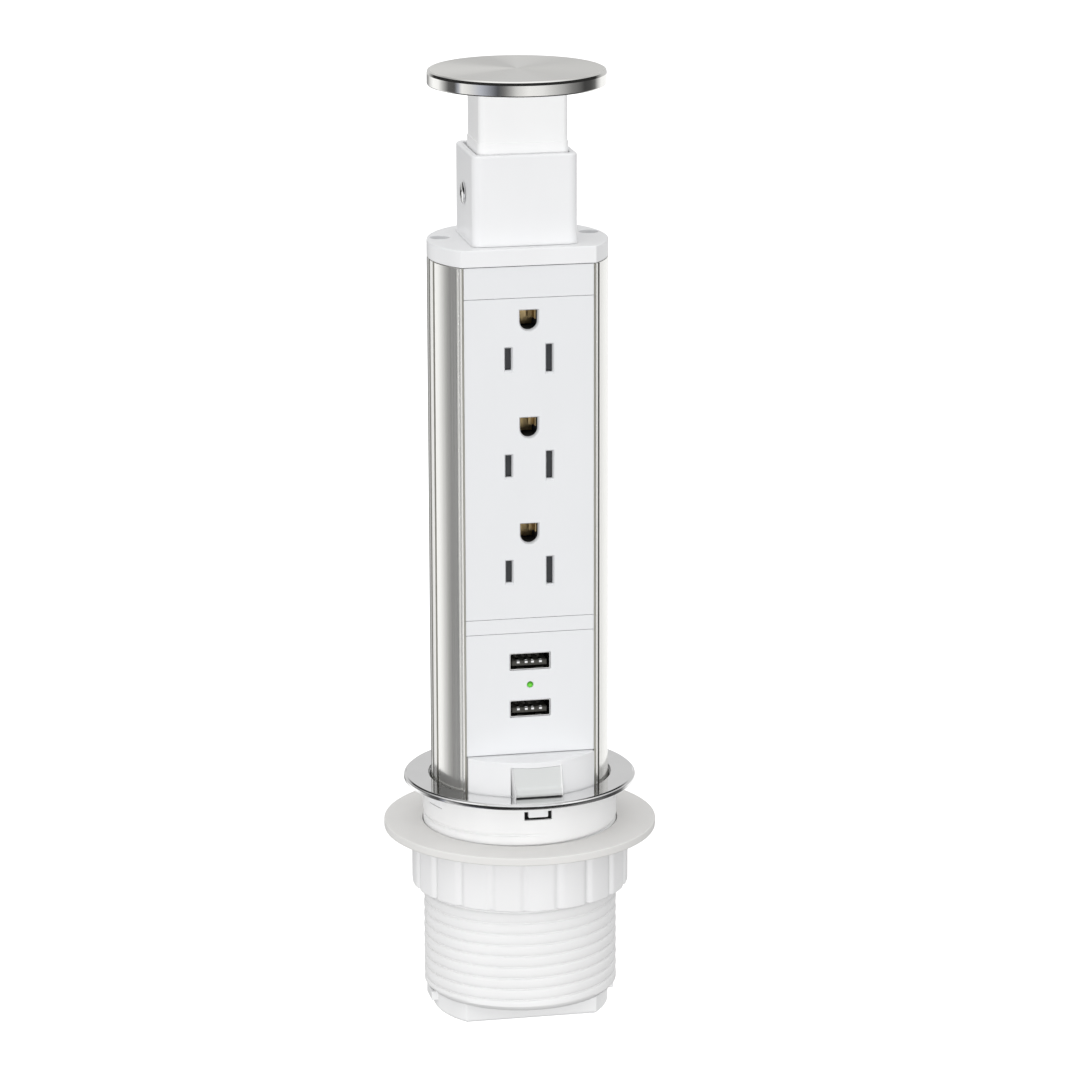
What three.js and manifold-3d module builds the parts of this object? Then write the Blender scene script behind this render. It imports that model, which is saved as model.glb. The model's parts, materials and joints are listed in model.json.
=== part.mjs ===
// Pop-up desk power tower: a socket column that slides up through a threaded desk grommet.
// Millimetres, +Z up. The Z axis is the column's axis and -Y is the socket side. Heights are drawn from
// the desk surface, and the finished model is lifted so that its origin is under the bottom cap.
import * as THREE from "three";
import { mergeVertices } from "three/addons/utils/BufferGeometryUtils.js";
import Module from "manifold-3d";

// ---- Driving dimensions ----
const GAP = 0.3; // clearance between neighbouring pieces

const COLUMN_R = 27.8; // round back of the column
const FRONT_Y = -18.2; // flat socket side of the column
const COLUMN_TOP = 166.4; // upper end of the aluminium extrusion
const COLUMN_BOTTOM = -68.0; // lower end of the aluminium extrusion
const WALL = 1.6; // extrusion wall
const LIP_X = 20.1; // inner edge of the extrusion's front lips
const RIB_X = 17.6; // inner edge of the ribs behind the panels
const PANEL_BACK_Y = -16.2; // rear face of every front panel
const RIB_BACK_Y = -14.8;
const SIDE_GROOVES_Y = [-6, -2, 2, 6]; // centre lines of the grooves in each flank
const GROOVE_W = 1.2;
const GROOVE_DEPTH = 0.8;
const SCREW_XY = [23.2, 5]; // plate and cap screws, mirrored in X
const BOSS_R = 3.0; // screw bosses inside the extrusion
const PILOT_R = 1.2;
const PLATE_SCREW = { headR: 2.5, headH: 1.8, length: 9, floor: 1.6, shankR: 1.0, clearR: 1.4, wellR: 3.0 };

const PLATE_TOP = 171.8; // top plate under the neck
const COLLAR_TOP = 199.5;
const COLLAR_X = 16.2; // half width of the neck collar
const COLLAR_Y = [-14.0, 17.0];
const COLLAR_WALL_X = 1.9;
const COLLAR_WALL_Y = 2.4;
const COLLAR_SCREW = { y: 1.5, z: 186.0, standOff: 0.15, headR: 3.4, headH: 0.9, length: 1.7, shankR: 1.0 };
const COLLAR_SCREW_HOLE = 1.3; // half width
const POST = { x: 13.7, front: -11.0, back: 9.8, bottom: 178.5, wall: 1.8 };
const POST_CEILING = 216.0; // underside of the post's closed top
const CAP_R = 27.3;
const CAP_BOTTOM = 219.1;
const CAP_TOP = 223.7;
const CAP_WEB = 2.1; // thickness of the disc inside its rim
const CAP_RIM = 1.4;
const NECK_SPRING = { r: 4.2, wire: 0.45, turns: 8, x: -4, y: -2 };

const OUTLET_ROWS_Z = [137.95, 104.6, 71.3]; // centre lines of the blade slots
const SLOT_X = 6.35; // half the blade spacing
const SLOT_W = 2.0;
const HOT_SLOT_H = 6.9;
const NEUTRAL_SLOT_H = 8.3;
const GROUND_DZ = 11.86; // ground hole above the blade slots
const GROUND_W = 5.95;
const GROUND_H = 6.2;
const PANEL_HALF_W = 19.9;
const SEAM = 0.15; // half the joint line between two front panels
const PANEL_FRONT_Y = -18.0;
const SEAMS_Z = { top: COLUMN_TOP, filler: 156.6, outlets: 56.2, spacer: 51.5, usb: 12.7 };
const USB_ROWS_Z = [42.3, 27.2];
const USB_W = 12.8;
const USB_H = 5.4;
const USB_SHEET = 0.35;
const USB_DEPTH = 14.0;
const LED_Z = 34.8;
const LED_R = 1.0;
const BOARD = { y: [-3.4, -1.8], x: 15, z: [16, 50] };

const CARRIER = { x: 17.3, front: -15.9, back: 4.0, bottom: 58.0, top: 156.0 };
const SHUTTER = { left: -12.5, right: 9.5, halfHeight: 5.0, front: -15.9, back: -13.2 };
const SHUTTER_TRAVEL = 3.2;
const POCKET_DEPTH = 3.0;

const BUS = { back: 3.4, sheet: 0.8, foot: 52.0, leafFront: -11.6, leafSheet: 0.55 };
const BUSES = [
  { name: "hot_bus", x: -SLOT_X, rise: 0, leafHalfHeight: 3.2, leafGap: 0.8 },
  { name: "neutral_bus", x: SLOT_X, rise: 0, leafHalfHeight: 3.9, leafGap: 0.8 },
  { name: "ground_bus", x: 0, rise: GROUND_DZ, leafHalfHeight: 2.4, leafGap: 2.2 },
];

const BLOCK_BOTTOM = -16.0; // base block that carries the latch
const LATCH = { halfWidth: 7.9, top: 10.8, bottom: 2.1, back: -20.5 };
const LATCH_POCKET = { halfWidth: 8.2, top: 11.1, back: -16.6, cellFloor: 1.6 };
const LATCH_SPRING = { r: 1.9, z: 6.4, length: 6.8, seatR: 2.6 };
const CAP_PLATE_BOTTOM = -74.5;
const CORD = { r: 3.6, y: 10, conductorR: 0.9 };
const LUG_R = 30.0; // stop lugs under the sleeve
const LUG_HALF_W = 5.0;
const LUG_Z = [-72.5, -68.4];

const RING_R = 36.4; // metal trim ring on the desk
const RING_OPENING_R = 28.6;
const RING_TOP = 1.75;
const RIM_W = 1.6;
const SKIRT_INNER_R = 28.3;
const SKIRT_OUTER_R = 29.1;
const SKIRT_BOTTOM = -8.0;
const SNAP_COUNT = 5;
const SNAP_Z = [-5.2, -2.4];
const SNAP_HALF_W = 4.4;
const SNAP_TAB_HALF_W = 2.6;
const SLEEVE_BORE_R = 28.2;
const SLEEVE_MOUTH_R = 29.5; // counterbore that takes the ring's skirt
const SLEEVE_MOUTH_Z = -8.5;
const SLEEVE_R = 30.4;
const SLEEVE_BOTTOM = -67.7;
const THREAD_PITCH = 3.6;
const THREAD_TOP = -10.0;
const THREAD_BOTTOM = THREAD_TOP - 15.5 * THREAD_PITCH;
const THREAD_HALF_W = 0.7; // half width of the vee groove at the crest
const THREAD_DEPTH = 0.6;

const WASHER_R = 42.7;
const WASHER_BORE_R = 30.9;
const WASHER_Z = [-15.9, -13.3];
const NUT_R = 34.15;
const NUT_GROOVE_R = 33.2;
const NUT_BORE_R = 31.1;
const NUT_Z = [-33.8, -16.1];
const NUT_LOBES = 20;

const RING_SIDES = 48; // facets of the widest round pieces
const SIDES = 32; // facets of the other large round pieces
const SLEEVE_SIDES = 24; // facets of the sleeve, and steps in one thread turn
const SMALL_SIDES = 16;

// ---- Finishes ----
const finish = (color, roughness, metalness = 0) => ({ color, roughness, metalness });
const WHITE = finish(0xf2f3f4, 0.35);
const PANEL_WHITE = finish(0xecedf0, 0.4);
const NUT_WHITE = finish(0xf6f6f6, 0.5);
const WASHER_WHITE = finish(0xe8e7e4, 0.5);
const SATIN_ALUMINIUM = finish(0xc8c6be, 0.35, 1);
const BRUSHED_STEEL = finish(0xd2d0cc, 0.3, 1);
const POLISHED_STEEL = finish(0xdadada, 0.12, 1);
const SPRING_STEEL = finish(0xa8a8a8, 0.3, 1);
const CONTACT_BRASS = finish(0xb89a52, 0.3, 1);
const CHARCOAL = finish(0x3a3c3e, 0.5);
const BLACK_PLASTIC = finish(0x1b1b1c, 0.5);
const BOARD_GREEN = finish(0x1e5a38, 0.5);
const LED_GREEN = finish(0x78c83c, 0.25);
const COPPER_ENAMEL = finish(0x9a4f22, 0.4, 0.6);

const model = new THREE.Group();

// ---- Solids: join and cut ----
const wasm = await Module();
wasm.setup();

function solid(geometry) {
  const bare = geometry.index ? geometry.toNonIndexed() : geometry.clone();
  bare.deleteAttribute("normal");
  bare.deleteAttribute("uv");
  const merged = mergeVertices(bare, 1e-4);
  return new wasm.Manifold(
    new wasm.Mesh({
      numProp: 3,
      vertProperties: merged.attributes.position.array,
      triVerts: new Uint32Array(merged.index.array),
    }),
  );
}

function geometryOf(made) {
  const mesh = made.getMesh();
  const geometry = new THREE.BufferGeometry();
  geometry.setAttribute("position", new THREE.BufferAttribute(mesh.vertProperties, 3));
  geometry.setIndex(new THREE.BufferAttribute(mesh.triVerts, 1));
  return geometry;
}

function join(...geometries) {
  return geometryOf(geometries.map(solid).reduce((whole, next) => whole.add(next)));
}

function cut(geometry, ...tools) {
  return geometryOf(tools.map(solid).reduce((rest, tool) => rest.subtract(tool), solid(geometry)));
}

function piece(name, geometry, look, position = [0, 0, 0]) {
  const shaded = geometry.index ? geometry.toNonIndexed() : geometry;
  shaded.computeVertexNormals();
  const mesh = new THREE.Mesh(shaded, new THREE.MeshStandardMaterial(look));
  mesh.name = name;
  mesh.position.set(...position);
  model.add(mesh);
  return mesh;
}

// ---- Basic shapes ----
const degrees = THREE.MathUtils.degToRad;

function box([x0, x1], [y0, y1], [z0, z1]) {
  const geometry = new THREE.BoxGeometry(x1 - x0, y1 - y0, z1 - z0);
  return geometry.translate((x0 + x1) / 2, (y0 + y1) / 2, (z0 + z1) / 2);
}

function post(radius, [z0, z1], [x, y] = [0, 0], sides = SMALL_SIDES) {
  const geometry = new THREE.CylinderGeometry(radius, radius, z1 - z0, sides);
  return geometry.rotateX(Math.PI / 2).translate(x, y, (z0 + z1) / 2);
}

// A round bar along Y.
function peg(radius, [y0, y1], [x, z], sides = SMALL_SIDES) {
  return new THREE.CylinderGeometry(radius, radius, y1 - y0, sides).translate(x, (y0 + y1) / 2, z);
}

function arc(radius, from, to, [x, y] = [0, 0], step = 360 / SIDES) {
  const count = Math.max(1, Math.ceil(Math.abs(to - from) / step - 1e-6));
  return Array.from({ length: count + 1 }, (_, i) => {
    const angle = degrees(from + ((to - from) * i) / count);
    return new THREE.Vector2(x + radius * Math.cos(angle), y + radius * Math.sin(angle));
  });
}

function rounded([x0, x1], [y0, y1], radius) {
  return new THREE.Shape([
    ...arc(radius, -180, -90, [x0 + radius, y0 + radius], 30),
    ...arc(radius, -90, 0, [x1 - radius, y0 + radius], 30),
    ...arc(radius, 0, 90, [x1 - radius, y1 - radius], 30),
    ...arc(radius, 90, 180, [x0 + radius, y1 - radius], 30),
  ]);
}

// The column's plan: a circle cut by the flat socket side, with slightly rounded corners.
function columnPlan(radius, flatY, corner) {
  const edge = Math.sqrt(radius * radius - flatY * flatY);
  const start = THREE.MathUtils.radToDeg(Math.atan2(flatY + corner, edge));
  return new THREE.Shape([
    new THREE.Vector2(-(edge - corner), flatY),
    new THREE.Vector2(edge - corner, flatY),
    ...arc(radius, start, 180 - start),
  ]);
}

// A plan raised between two heights.
function prism(shape, [z0, z1]) {
  const geometry = new THREE.ExtrudeGeometry(shape, { depth: z1 - z0, bevelEnabled: false });
  return geometry.translate(0, 0, z0);
}

// An elevation, drawn in X and Z, given thickness from its back towards the socket side.
function slab(shape, [front, back]) {
  const geometry = new THREE.ExtrudeGeometry(shape, { depth: back - front, bevelEnabled: false });
  return geometry.rotateX(Math.PI / 2).translate(0, back, 0);
}

function ringOf(profile, sides = SIDES) {
  const points = [...profile, profile[0]].map(([r, z]) => new THREE.Vector2(r, z));
  return new THREE.LatheGeometry(points, sides).rotateX(Math.PI / 2);
}

class Helix extends THREE.Curve {
  constructor(radius, bottom, top, turns, start = 0) {
    super();
    Object.assign(this, { radius, bottom, top, turns, start });
  }
  getPoint(t) {
    const angle = this.start + 2 * Math.PI * this.turns * t;
    const z = this.bottom + (this.top - this.bottom) * t;
    return new THREE.Vector3(this.radius * Math.cos(angle), this.radius * Math.sin(angle), z);
  }
  // The helix runs at constant speed, so equal parameters are equal lengths.
  getPointAt(t) {
    return this.getPoint(t);
  }
  // A section's X stays radial and its Y stays axial, so that it doesn't roll along the turns.
  computeFrenetFrames(segments) {
    const frames = { tangents: [], normals: [], binormals: [] };
    const rise = this.top - this.bottom;
    for (let i = 0; i <= segments; i += 1) {
      const angle = this.start + (2 * Math.PI * this.turns * i) / segments;
      const radial = new THREE.Vector3(Math.cos(angle), Math.sin(angle), 0);
      const along = new THREE.Vector3(-Math.sin(angle), Math.cos(angle), 0);
      const tangent = along.multiplyScalar(2 * Math.PI * this.turns * this.radius).setZ(rise).normalize();
      frames.tangents.push(tangent);
      frames.normals.push(radial);
      frames.binormals.push(new THREE.Vector3().crossVectors(tangent, radial));
    }
    return frames;
  }
}

function coil(radius, wire, turns, [z0, z1], stepsPerTurn = 10) {
  const section = new THREE.Shape(arc(wire, 0, 288, [0, 0], 72));
  return new THREE.ExtrudeGeometry(section, {
    steps: Math.round(turns * stepsPerTurn),
    extrudePath: new Helix(radius, z0 + wire, z1 - wire, turns),
  });
}

function rodAlong(points, radius) {
  const path = new THREE.CatmullRomCurve3(points.map((p) => new THREE.Vector3(...p)));
  const section = new THREE.Shape(arc(radius, 0, 300, [0, 0], 60));
  return new THREE.ExtrudeGeometry(section, { steps: 14, extrudePath: path });
}

// ---- Desk grommet: trim ring, snap carrier, threaded sleeve, washer and nut ----
function addTrimRing() {
  const inner = RING_R - RIM_W;
  const profile = [
    [RING_OPENING_R, 0.95],
    [inner, 0.95],
    [inner, 0],
    [RING_R - 0.3, 0],
    [RING_R, 0.5],
    [RING_R - 0.1, 1.2],
    [RING_R - 0.7, RING_TOP],
    [RING_OPENING_R, RING_TOP],
  ];
  piece("trim_ring", ringOf(profile, RING_SIDES), POLISHED_STEEL);
}

// Sector blocks set round the axis, one for each snap.
function aroundSnaps(halfWidth, [r0, r1], heights) {
  return Array.from({ length: SNAP_COUNT }, (_, i) => {
    const block = box([-halfWidth, halfWidth], [-r1, -r0], heights);
    return block.rotateZ((2 * Math.PI * i) / SNAP_COUNT);
  });
}

function addRingCarrier() {
  const profile = [
    [SKIRT_INNER_R, SKIRT_BOTTOM],
    [SKIRT_OUTER_R, SKIRT_BOTTOM],
    [SKIRT_OUTER_R, 0.25],
    [SLEEVE_R + 0.6, 0.25],
    [SLEEVE_R + 0.6, 0],
    [RING_R - RIM_W - GAP, 0],
    [RING_R - RIM_W - GAP, 0.75],
    [SKIRT_INNER_R, 0.75],
  ];
  const tabs = aroundSnaps(SNAP_TAB_HALF_W, [28.7, 29.9], [-4.6, -2.8]);
  piece("ring_carrier", join(ringOf(profile), ...tabs), WHITE);
}

function addThreadedSleeve() {
  const profile = [
    [SLEEVE_BORE_R, SLEEVE_BOTTOM],
    [SLEEVE_R - 1.2, SLEEVE_BOTTOM],
    [SLEEVE_R, SLEEVE_BOTTOM + 1.4],
    [SLEEVE_R, -GAP],
    [SLEEVE_MOUTH_R, -GAP],
    [SLEEVE_MOUTH_R, SLEEVE_MOUTH_Z],
    [SLEEVE_BORE_R, SLEEVE_MOUTH_Z - 1.0],
  ];
  const windows = aroundSnaps(SNAP_HALF_W, [28.6, 31.5], SNAP_Z);
  const turns = (THREAD_TOP - THREAD_BOTTOM) / THREAD_PITCH;
  const start = degrees(-90) - 2 * Math.PI * turns; // the groove runs out at the front
  const vee = new THREE.Shape([
    new THREE.Vector2(-THREAD_DEPTH, 0),
    new THREE.Vector2(THREAD_DEPTH, -THREAD_HALF_W * 2),
    new THREE.Vector2(THREAD_DEPTH, THREAD_HALF_W * 2),
  ]);
  const groove = new THREE.ExtrudeGeometry(vee, {
    steps: Math.round(turns * SLEEVE_SIDES),
    extrudePath: new Helix(SLEEVE_R, THREAD_BOTTOM, THREAD_TOP, turns, start),
  });
  piece("threaded_sleeve", cut(ringOf(profile, SLEEVE_SIDES), groove, ...windows), WHITE);
}

function addClampWasher() {
  const profile = [
    [WASHER_BORE_R, WASHER_Z[0]],
    [WASHER_R, WASHER_Z[0]],
    [WASHER_R, WASHER_Z[1]],
    [WASHER_BORE_R, WASHER_Z[1]],
  ];
  piece("clamp_washer", ringOf(profile, RING_SIDES), WASHER_WHITE);
}

function addLockNut() {
  const lobe = 360 / NUT_LOBES;
  const outline = Array.from({ length: NUT_LOBES }, (_, i) => {
    const start = i * lobe;
    return [
      ...arc(NUT_GROOVE_R, start - 1.6, start + 1.6, [0, 0], 4),
      ...arc(NUT_R, start + 4.2, start + lobe - 4.2, [0, 0], 6),
    ];
  }).flat();
  const plan = new THREE.Shape(outline);
  plan.holes.push(new THREE.Path(arc(NUT_BORE_R, 0, 350)));
  piece("lock_nut", prism(plan, NUT_Z), NUT_WHITE);
}

// ---- Column: extrusion, top plate, bottom cap and their screws ----
// One flank of the extrusion's outer face, from the front lip up to the back, notched by the grooves.
function flankOutline() {
  const points = [];
  let from = THREE.MathUtils.radToDeg(Math.atan2(FRONT_Y + 0.05, 21.05));
  for (const y of SIDE_GROOVES_Y) {
    const low = THREE.MathUtils.radToDeg(Math.asin((y - GROOVE_W / 2) / COLUMN_R));
    const high = THREE.MathUtils.radToDeg(Math.asin((y + GROOVE_W / 2) / COLUMN_R));
    points.push(...arc(COLUMN_R, from, low));
    points.push(...arc(COLUMN_R - GROOVE_DEPTH, low, high));
    from = high;
  }
  return [...points, ...arc(COLUMN_R, from, 90)];
}

function extrusionPlan() {
  const innerR = COLUMN_R - WALL;
  const ribEnd = Math.sqrt(innerR * innerR - RIB_BACK_Y * RIB_BACK_Y);
  const ribAngle = THREE.MathUtils.radToDeg(Math.atan2(RIB_BACK_Y, ribEnd));
  const right = [
    ...arc(innerR, 90, ribAngle),
    new THREE.Vector2(RIB_X, RIB_BACK_Y),
    new THREE.Vector2(RIB_X, PANEL_BACK_Y + GAP),
    new THREE.Vector2(LIP_X, PANEL_BACK_Y + GAP),
    new THREE.Vector2(LIP_X, FRONT_Y),
    new THREE.Vector2(LIP_X + 0.2, FRONT_Y - 0.2),
    new THREE.Vector2(LIP_X + 0.7, FRONT_Y - 0.2),
    ...flankOutline(),
  ];
  const mirrored = right.slice(1, -1).reverse();
  const left = mirrored.map((p) => new THREE.Vector2(-p.x, p.y));
  return new THREE.Shape([...right, ...left]);
}

function addExtrusion() {
  const length = [COLUMN_BOTTOM, COLUMN_TOP];
  const bosses = [-1, 1].map((side) => post(BOSS_R, length, [side * SCREW_XY[0], SCREW_XY[1]]));
  const pilots = [-1, 1].map((side) =>
    post(PILOT_R, [COLUMN_BOTTOM - 1, COLUMN_TOP + 1], [side * SCREW_XY[0], SCREW_XY[1]], 8),
  );
  const shell = join(prism(extrusionPlan(), length), ...bosses);
  piece("body_extrusion", cut(shell, ...pilots), SATIN_ALUMINIUM);
}

function screw([x, y], headZ, direction, [headR, headH], [shankR, shankL]) {
  const ends = (a, b) => [Math.min(a, b), Math.max(a, b)];
  const headEnd = headZ + direction * headH;
  const shankEnd = headZ - direction * shankL;
  const head = post(headR, ends(headZ, headEnd), [x, y]);
  const shank = post(shankR, ends(headZ + direction * 0.2, shankEnd), [x, y], 8);
  const recess = box([x - headR * 0.6, x + headR * 0.6], [y - 0.35, y + 0.35],
    ends(headEnd - direction * 0.8, headEnd + direction));
  const cross = box([x - 0.35, x + 0.35], [y - headR * 0.6, y + headR * 0.6],
    ends(headEnd - direction * 0.8, headEnd + direction));
  return cut(join(head, shank), recess, cross);
}

function addTopPlate() {
  const bottom = COLUMN_TOP + 0.2;
  const heights = [bottom, PLATE_TOP];
  const plate = prism(columnPlan(COLUMN_R, FRONT_Y, 0.6), heights);
  const opening = box([-POST.x - 0.6, POST.x + 0.6], [POST.front - 0.6, POST.back + 0.6],
    [bottom - 1, PLATE_TOP + 1]);
  const wells = [-1, 1].flatMap((side) => {
    const at = [side * SCREW_XY[0], SCREW_XY[1]];
    return [
      post(PLATE_SCREW.wellR, [bottom + PLATE_SCREW.floor, PLATE_TOP + 1], at, 24),
      post(PLATE_SCREW.clearR, [bottom - 1, PLATE_TOP], at, 8),
    ];
  });
  piece("top_plate", cut(plate, opening, ...wells), WHITE);
  [-1, 1].forEach((side) => {
    const at = [side * SCREW_XY[0], SCREW_XY[1]];
    const seat = bottom + PLATE_SCREW.floor + GAP;
    const made = screw(at, seat, 1, [PLATE_SCREW.headR, PLATE_SCREW.headH],
      [PLATE_SCREW.shankR, PLATE_SCREW.length]);
    piece(side < 0 ? "top_plate_screw_left" : "top_plate_screw_right", made, POLISHED_STEEL);
  });
}

function addBottomCap() {
  const heights = [CAP_PLATE_BOTTOM, COLUMN_BOTTOM - GAP];
  const plate = prism(columnPlan(COLUMN_R, FRONT_Y, 0.6), heights);
  const lugs = [-1, 1].map((side) => {
    const reach = [side * (COLUMN_R - 3), side * LUG_R].sort((a, b) => a - b);
    return box(reach, [-LUG_HALF_W, LUG_HALF_W], LUG_Z);
  });
  const cordHole = post(CORD.r + 1.6, [CAP_PLATE_BOTTOM - 1, COLUMN_BOTTOM], [0, CORD.y], 24);
  const wells = [-1, 1].flatMap((side) => {
    const at = [side * SCREW_XY[0], SCREW_XY[1]];
    return [
      post(PLATE_SCREW.wellR, [CAP_PLATE_BOTTOM - 1, COLUMN_BOTTOM - GAP - PLATE_SCREW.floor], at, 24),
      post(PLATE_SCREW.clearR, [CAP_PLATE_BOTTOM, COLUMN_BOTTOM + 1], at, 8),
    ];
  });
  piece("bottom_cap", cut(join(plate, ...lugs), cordHole, ...wells), WHITE);
  [-1, 1].forEach((side) => {
    const at = [side * SCREW_XY[0], SCREW_XY[1]];
    const seat = COLUMN_BOTTOM - 2 * GAP - PLATE_SCREW.floor;
    const made = screw(at, seat, -1, [PLATE_SCREW.headR, PLATE_SCREW.headH],
      [PLATE_SCREW.shankR, PLATE_SCREW.length]);
    piece(side < 0 ? "bottom_cap_screw_left" : "bottom_cap_screw_right", made, POLISHED_STEEL);
  });
}

// ---- Front panels ----
function panelSlab(top, bottom, holes = []) {
  const face = rounded([-PANEL_HALF_W, PANEL_HALF_W], [bottom, top], SEAM);
  face.holes.push(...holes);
  return slab(face, [PANEL_FRONT_Y, PANEL_BACK_Y]);
}

function slotHole(x, z, width, height) {
  return new THREE.Path(rounded([x - width / 2, x + width / 2], [z - height / 2, z + height / 2], 0.2)
    .getPoints());
}

// The ground hole has a flat top and a round bottom.
function groundHole(z, width = GROUND_W, height = GROUND_H) {
  const radius = width / 2;
  const top = z + height / 2;
  const centre = z - height / 2 + radius;
  return new THREE.Path([
    new THREE.Vector2(radius, top),
    new THREE.Vector2(-radius, top),
    ...arc(radius, 180, 360, [0, centre], 22.5),
  ]);
}

function addPanels() {
  piece("filler_panel", panelSlab(SEAMS_Z.top - SEAM, SEAMS_Z.filler + SEAM), PANEL_WHITE);
  const holes = OUTLET_ROWS_Z.flatMap((z) => [
    slotHole(-SLOT_X, z, SLOT_W, HOT_SLOT_H),
    slotHole(SLOT_X, z, SLOT_W, NEUTRAL_SLOT_H),
    groundHole(z + GROUND_DZ),
  ]);
  piece("outlet_panel", panelSlab(SEAMS_Z.filler - SEAM, SEAMS_Z.outlets + SEAM, holes), PANEL_WHITE);
  piece("spacer_panel", panelSlab(SEAMS_Z.outlets - SEAM, SEAMS_Z.spacer + SEAM), PANEL_WHITE);
  const ports = USB_ROWS_Z.map((z) => slotHole(0, z, USB_W + 0.5, USB_H + 0.5));
  const led = new THREE.Path(arc(LED_R + 0.15, 0, 330, [0, LED_Z], 30));
  const usbHoles = [...ports, led];
  piece("usb_panel", panelSlab(SEAMS_Z.spacer - SEAM, SEAMS_Z.usb + SEAM, usbHoles), PANEL_WHITE);
  piece("lower_panel", panelSlab(BLOCK_BOTTOM - GAP, COLUMN_BOTTOM + GAP), PANEL_WHITE);
}

// ---- Base block and latch ----
function segmentPlan(halfWidth, backY) {
  const angle = THREE.MathUtils.radToDeg(Math.acos(halfWidth / COLUMN_R));
  return new THREE.Shape([
    new THREE.Vector2(halfWidth, backY),
    new THREE.Vector2(-halfWidth, backY),
    ...arc(COLUMN_R, -180 + angle, -angle),
  ]);
}

function addBaseBlock() {
  const body = prism(segmentPlan(PANEL_HALF_W, PANEL_BACK_Y), [BLOCK_BOTTOM, SEAMS_Z.usb - SEAM]);
  const pocket = box([-LATCH_POCKET.halfWidth, LATCH_POCKET.halfWidth], [-COLUMN_R - 1, LATCH_POCKET.back],
    [LATCH_POCKET.cellFloor, LATCH_POCKET.top]);
  piece("base_block", cut(body, pocket), WHITE);
}

function addLatch() {
  const profile = new THREE.Shape([
    new THREE.Vector2(LATCH.back, LATCH.bottom),
    new THREE.Vector2(-29.7, LATCH.bottom),
    new THREE.Vector2(-30.0, LATCH.bottom + 0.7),
    new THREE.Vector2(-29.9, LATCH.bottom + 1.8),
    new THREE.Vector2(-27.3, LATCH.top),
    new THREE.Vector2(LATCH.back, LATCH.top),
  ]);
  const body = new THREE.ExtrudeGeometry(profile, { depth: 2 * LATCH.halfWidth, bevelEnabled: false });
  // Drawn in (Y, Z) and given its width along X.
  body.applyMatrix4(new THREE.Matrix4().makeBasis(
    new THREE.Vector3(0, 1, 0),
    new THREE.Vector3(0, 0, 1),
    new THREE.Vector3(1, 0, 0),
  )).translate(-LATCH.halfWidth, 0, 0);
  const springSeat = peg(LATCH_SPRING.seatR, [LATCH.back - 4, LATCH.back + 1], [0, LATCH_SPRING.z], 12);
  piece("latch_button", cut(body, springSeat), WHITE);
  const spring = coil(LATCH_SPRING.r, 0.3, 4, [0, LATCH_SPRING.length], 8);
  spring.rotateX(-Math.PI / 2).translate(0, LATCH.back - 3.2, LATCH_SPRING.z);
  piece("latch_spring", spring, SPRING_STEEL);
}

// ---- Neck: collar, post, cap, spring and push latch ----
function addCollar() {
  const plan = rounded([-COLLAR_X, COLLAR_X], COLLAR_Y, 3);
  const outer = prism(plan, [PLATE_TOP + 0.1, COLLAR_TOP]);
  const wallX = COLLAR_X - COLLAR_WALL_X;
  const wallY = [COLLAR_Y[0] + COLLAR_WALL_Y, COLLAR_Y[1] - COLLAR_WALL_Y];
  const inner = prism(rounded([-wallX, wallX], wallY, 1.6), [PLATE_TOP - 1, COLLAR_TOP + 1]);
  const { y, z, headR, headH, length, shankR, standOff } = COLLAR_SCREW;
  const hole = COLLAR_SCREW_HOLE;
  const holes = box([-COLLAR_X - 1, COLLAR_X + 1], [y - hole, y + hole], [z - hole, z + hole]);
  piece("neck_collar", cut(outer, inner, holes), WHITE);
  [-1, 1].forEach((side) => {
    const made = screw([0, 0], 0, 1, [headR, headH], [shankR, length]);
    made.rotateY((side * Math.PI) / 2);
    const at = [side * (COLLAR_X + standOff), y, z];
    piece(side < 0 ? "collar_screw_left" : "collar_screw_right", made, POLISHED_STEEL, at);
  });
}

function addPost() {
  const { x, front, back, bottom, wall } = POST;
  const outer = prism(rounded([-x, x], [front, back], 2), [bottom, CAP_BOTTOM]);
  const hollow = box([-x + wall, x - wall], [front + wall, back - wall], [bottom - 1, POST_CEILING]);
  piece("neck_post", cut(outer, hollow), WHITE);
}

function addCap() {
  const chamfer = 0.5;
  const rimIn = CAP_R - CAP_RIM;
  const disc = [
    [0, CAP_TOP - CAP_WEB],
    [rimIn, CAP_TOP - CAP_WEB],
    [rimIn, CAP_BOTTOM],
    [CAP_R - 0.4, CAP_BOTTOM],
    [CAP_R, CAP_BOTTOM + 0.5],
    [CAP_R, CAP_TOP - chamfer],
    [CAP_R - chamfer, CAP_TOP],
    [0, CAP_TOP],
  ].map(([r, z]) => new THREE.Vector2(r, z));
  piece("cap_disc", new THREE.LatheGeometry(disc, RING_SIDES).rotateX(Math.PI / 2), BRUSHED_STEEL);
  const linerHeights = [CAP_BOTTOM + 0.2, CAP_TOP - CAP_WEB - 0.2];
  piece("cap_liner", post(rimIn - GAP, linerHeights, [0, 0], SIDES), WHITE);
}

function addNeckSpring() {
  const { r, wire, turns, x, y } = NECK_SPRING;
  const ends = [CARRIER.top + GAP, POST_CEILING - GAP];
  piece("neck_spring", coil(r, wire, turns, ends, 8), SPRING_STEEL, [x, y, 0]);
}

function addPushLatch() {
  const body = box([3, 9.5], [-6, 2], [CARRIER.top + GAP, 184]);
  const channel = box([4.6, 7.9], [-4, 0], [160, 185]);
  piece("push_latch", cut(body, channel), CHARCOAL);
  const ceiling = POST_CEILING - GAP;
  const rod = box([5.0, 7.5], [-3.4, -0.6], [181.4, ceiling - 1]);
  const foot = box([3.2, 9.3], [-5.4, 1.4], [ceiling - 2, ceiling]);
  piece("push_striker", join(rod, foot), CHARCOAL);
}

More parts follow.
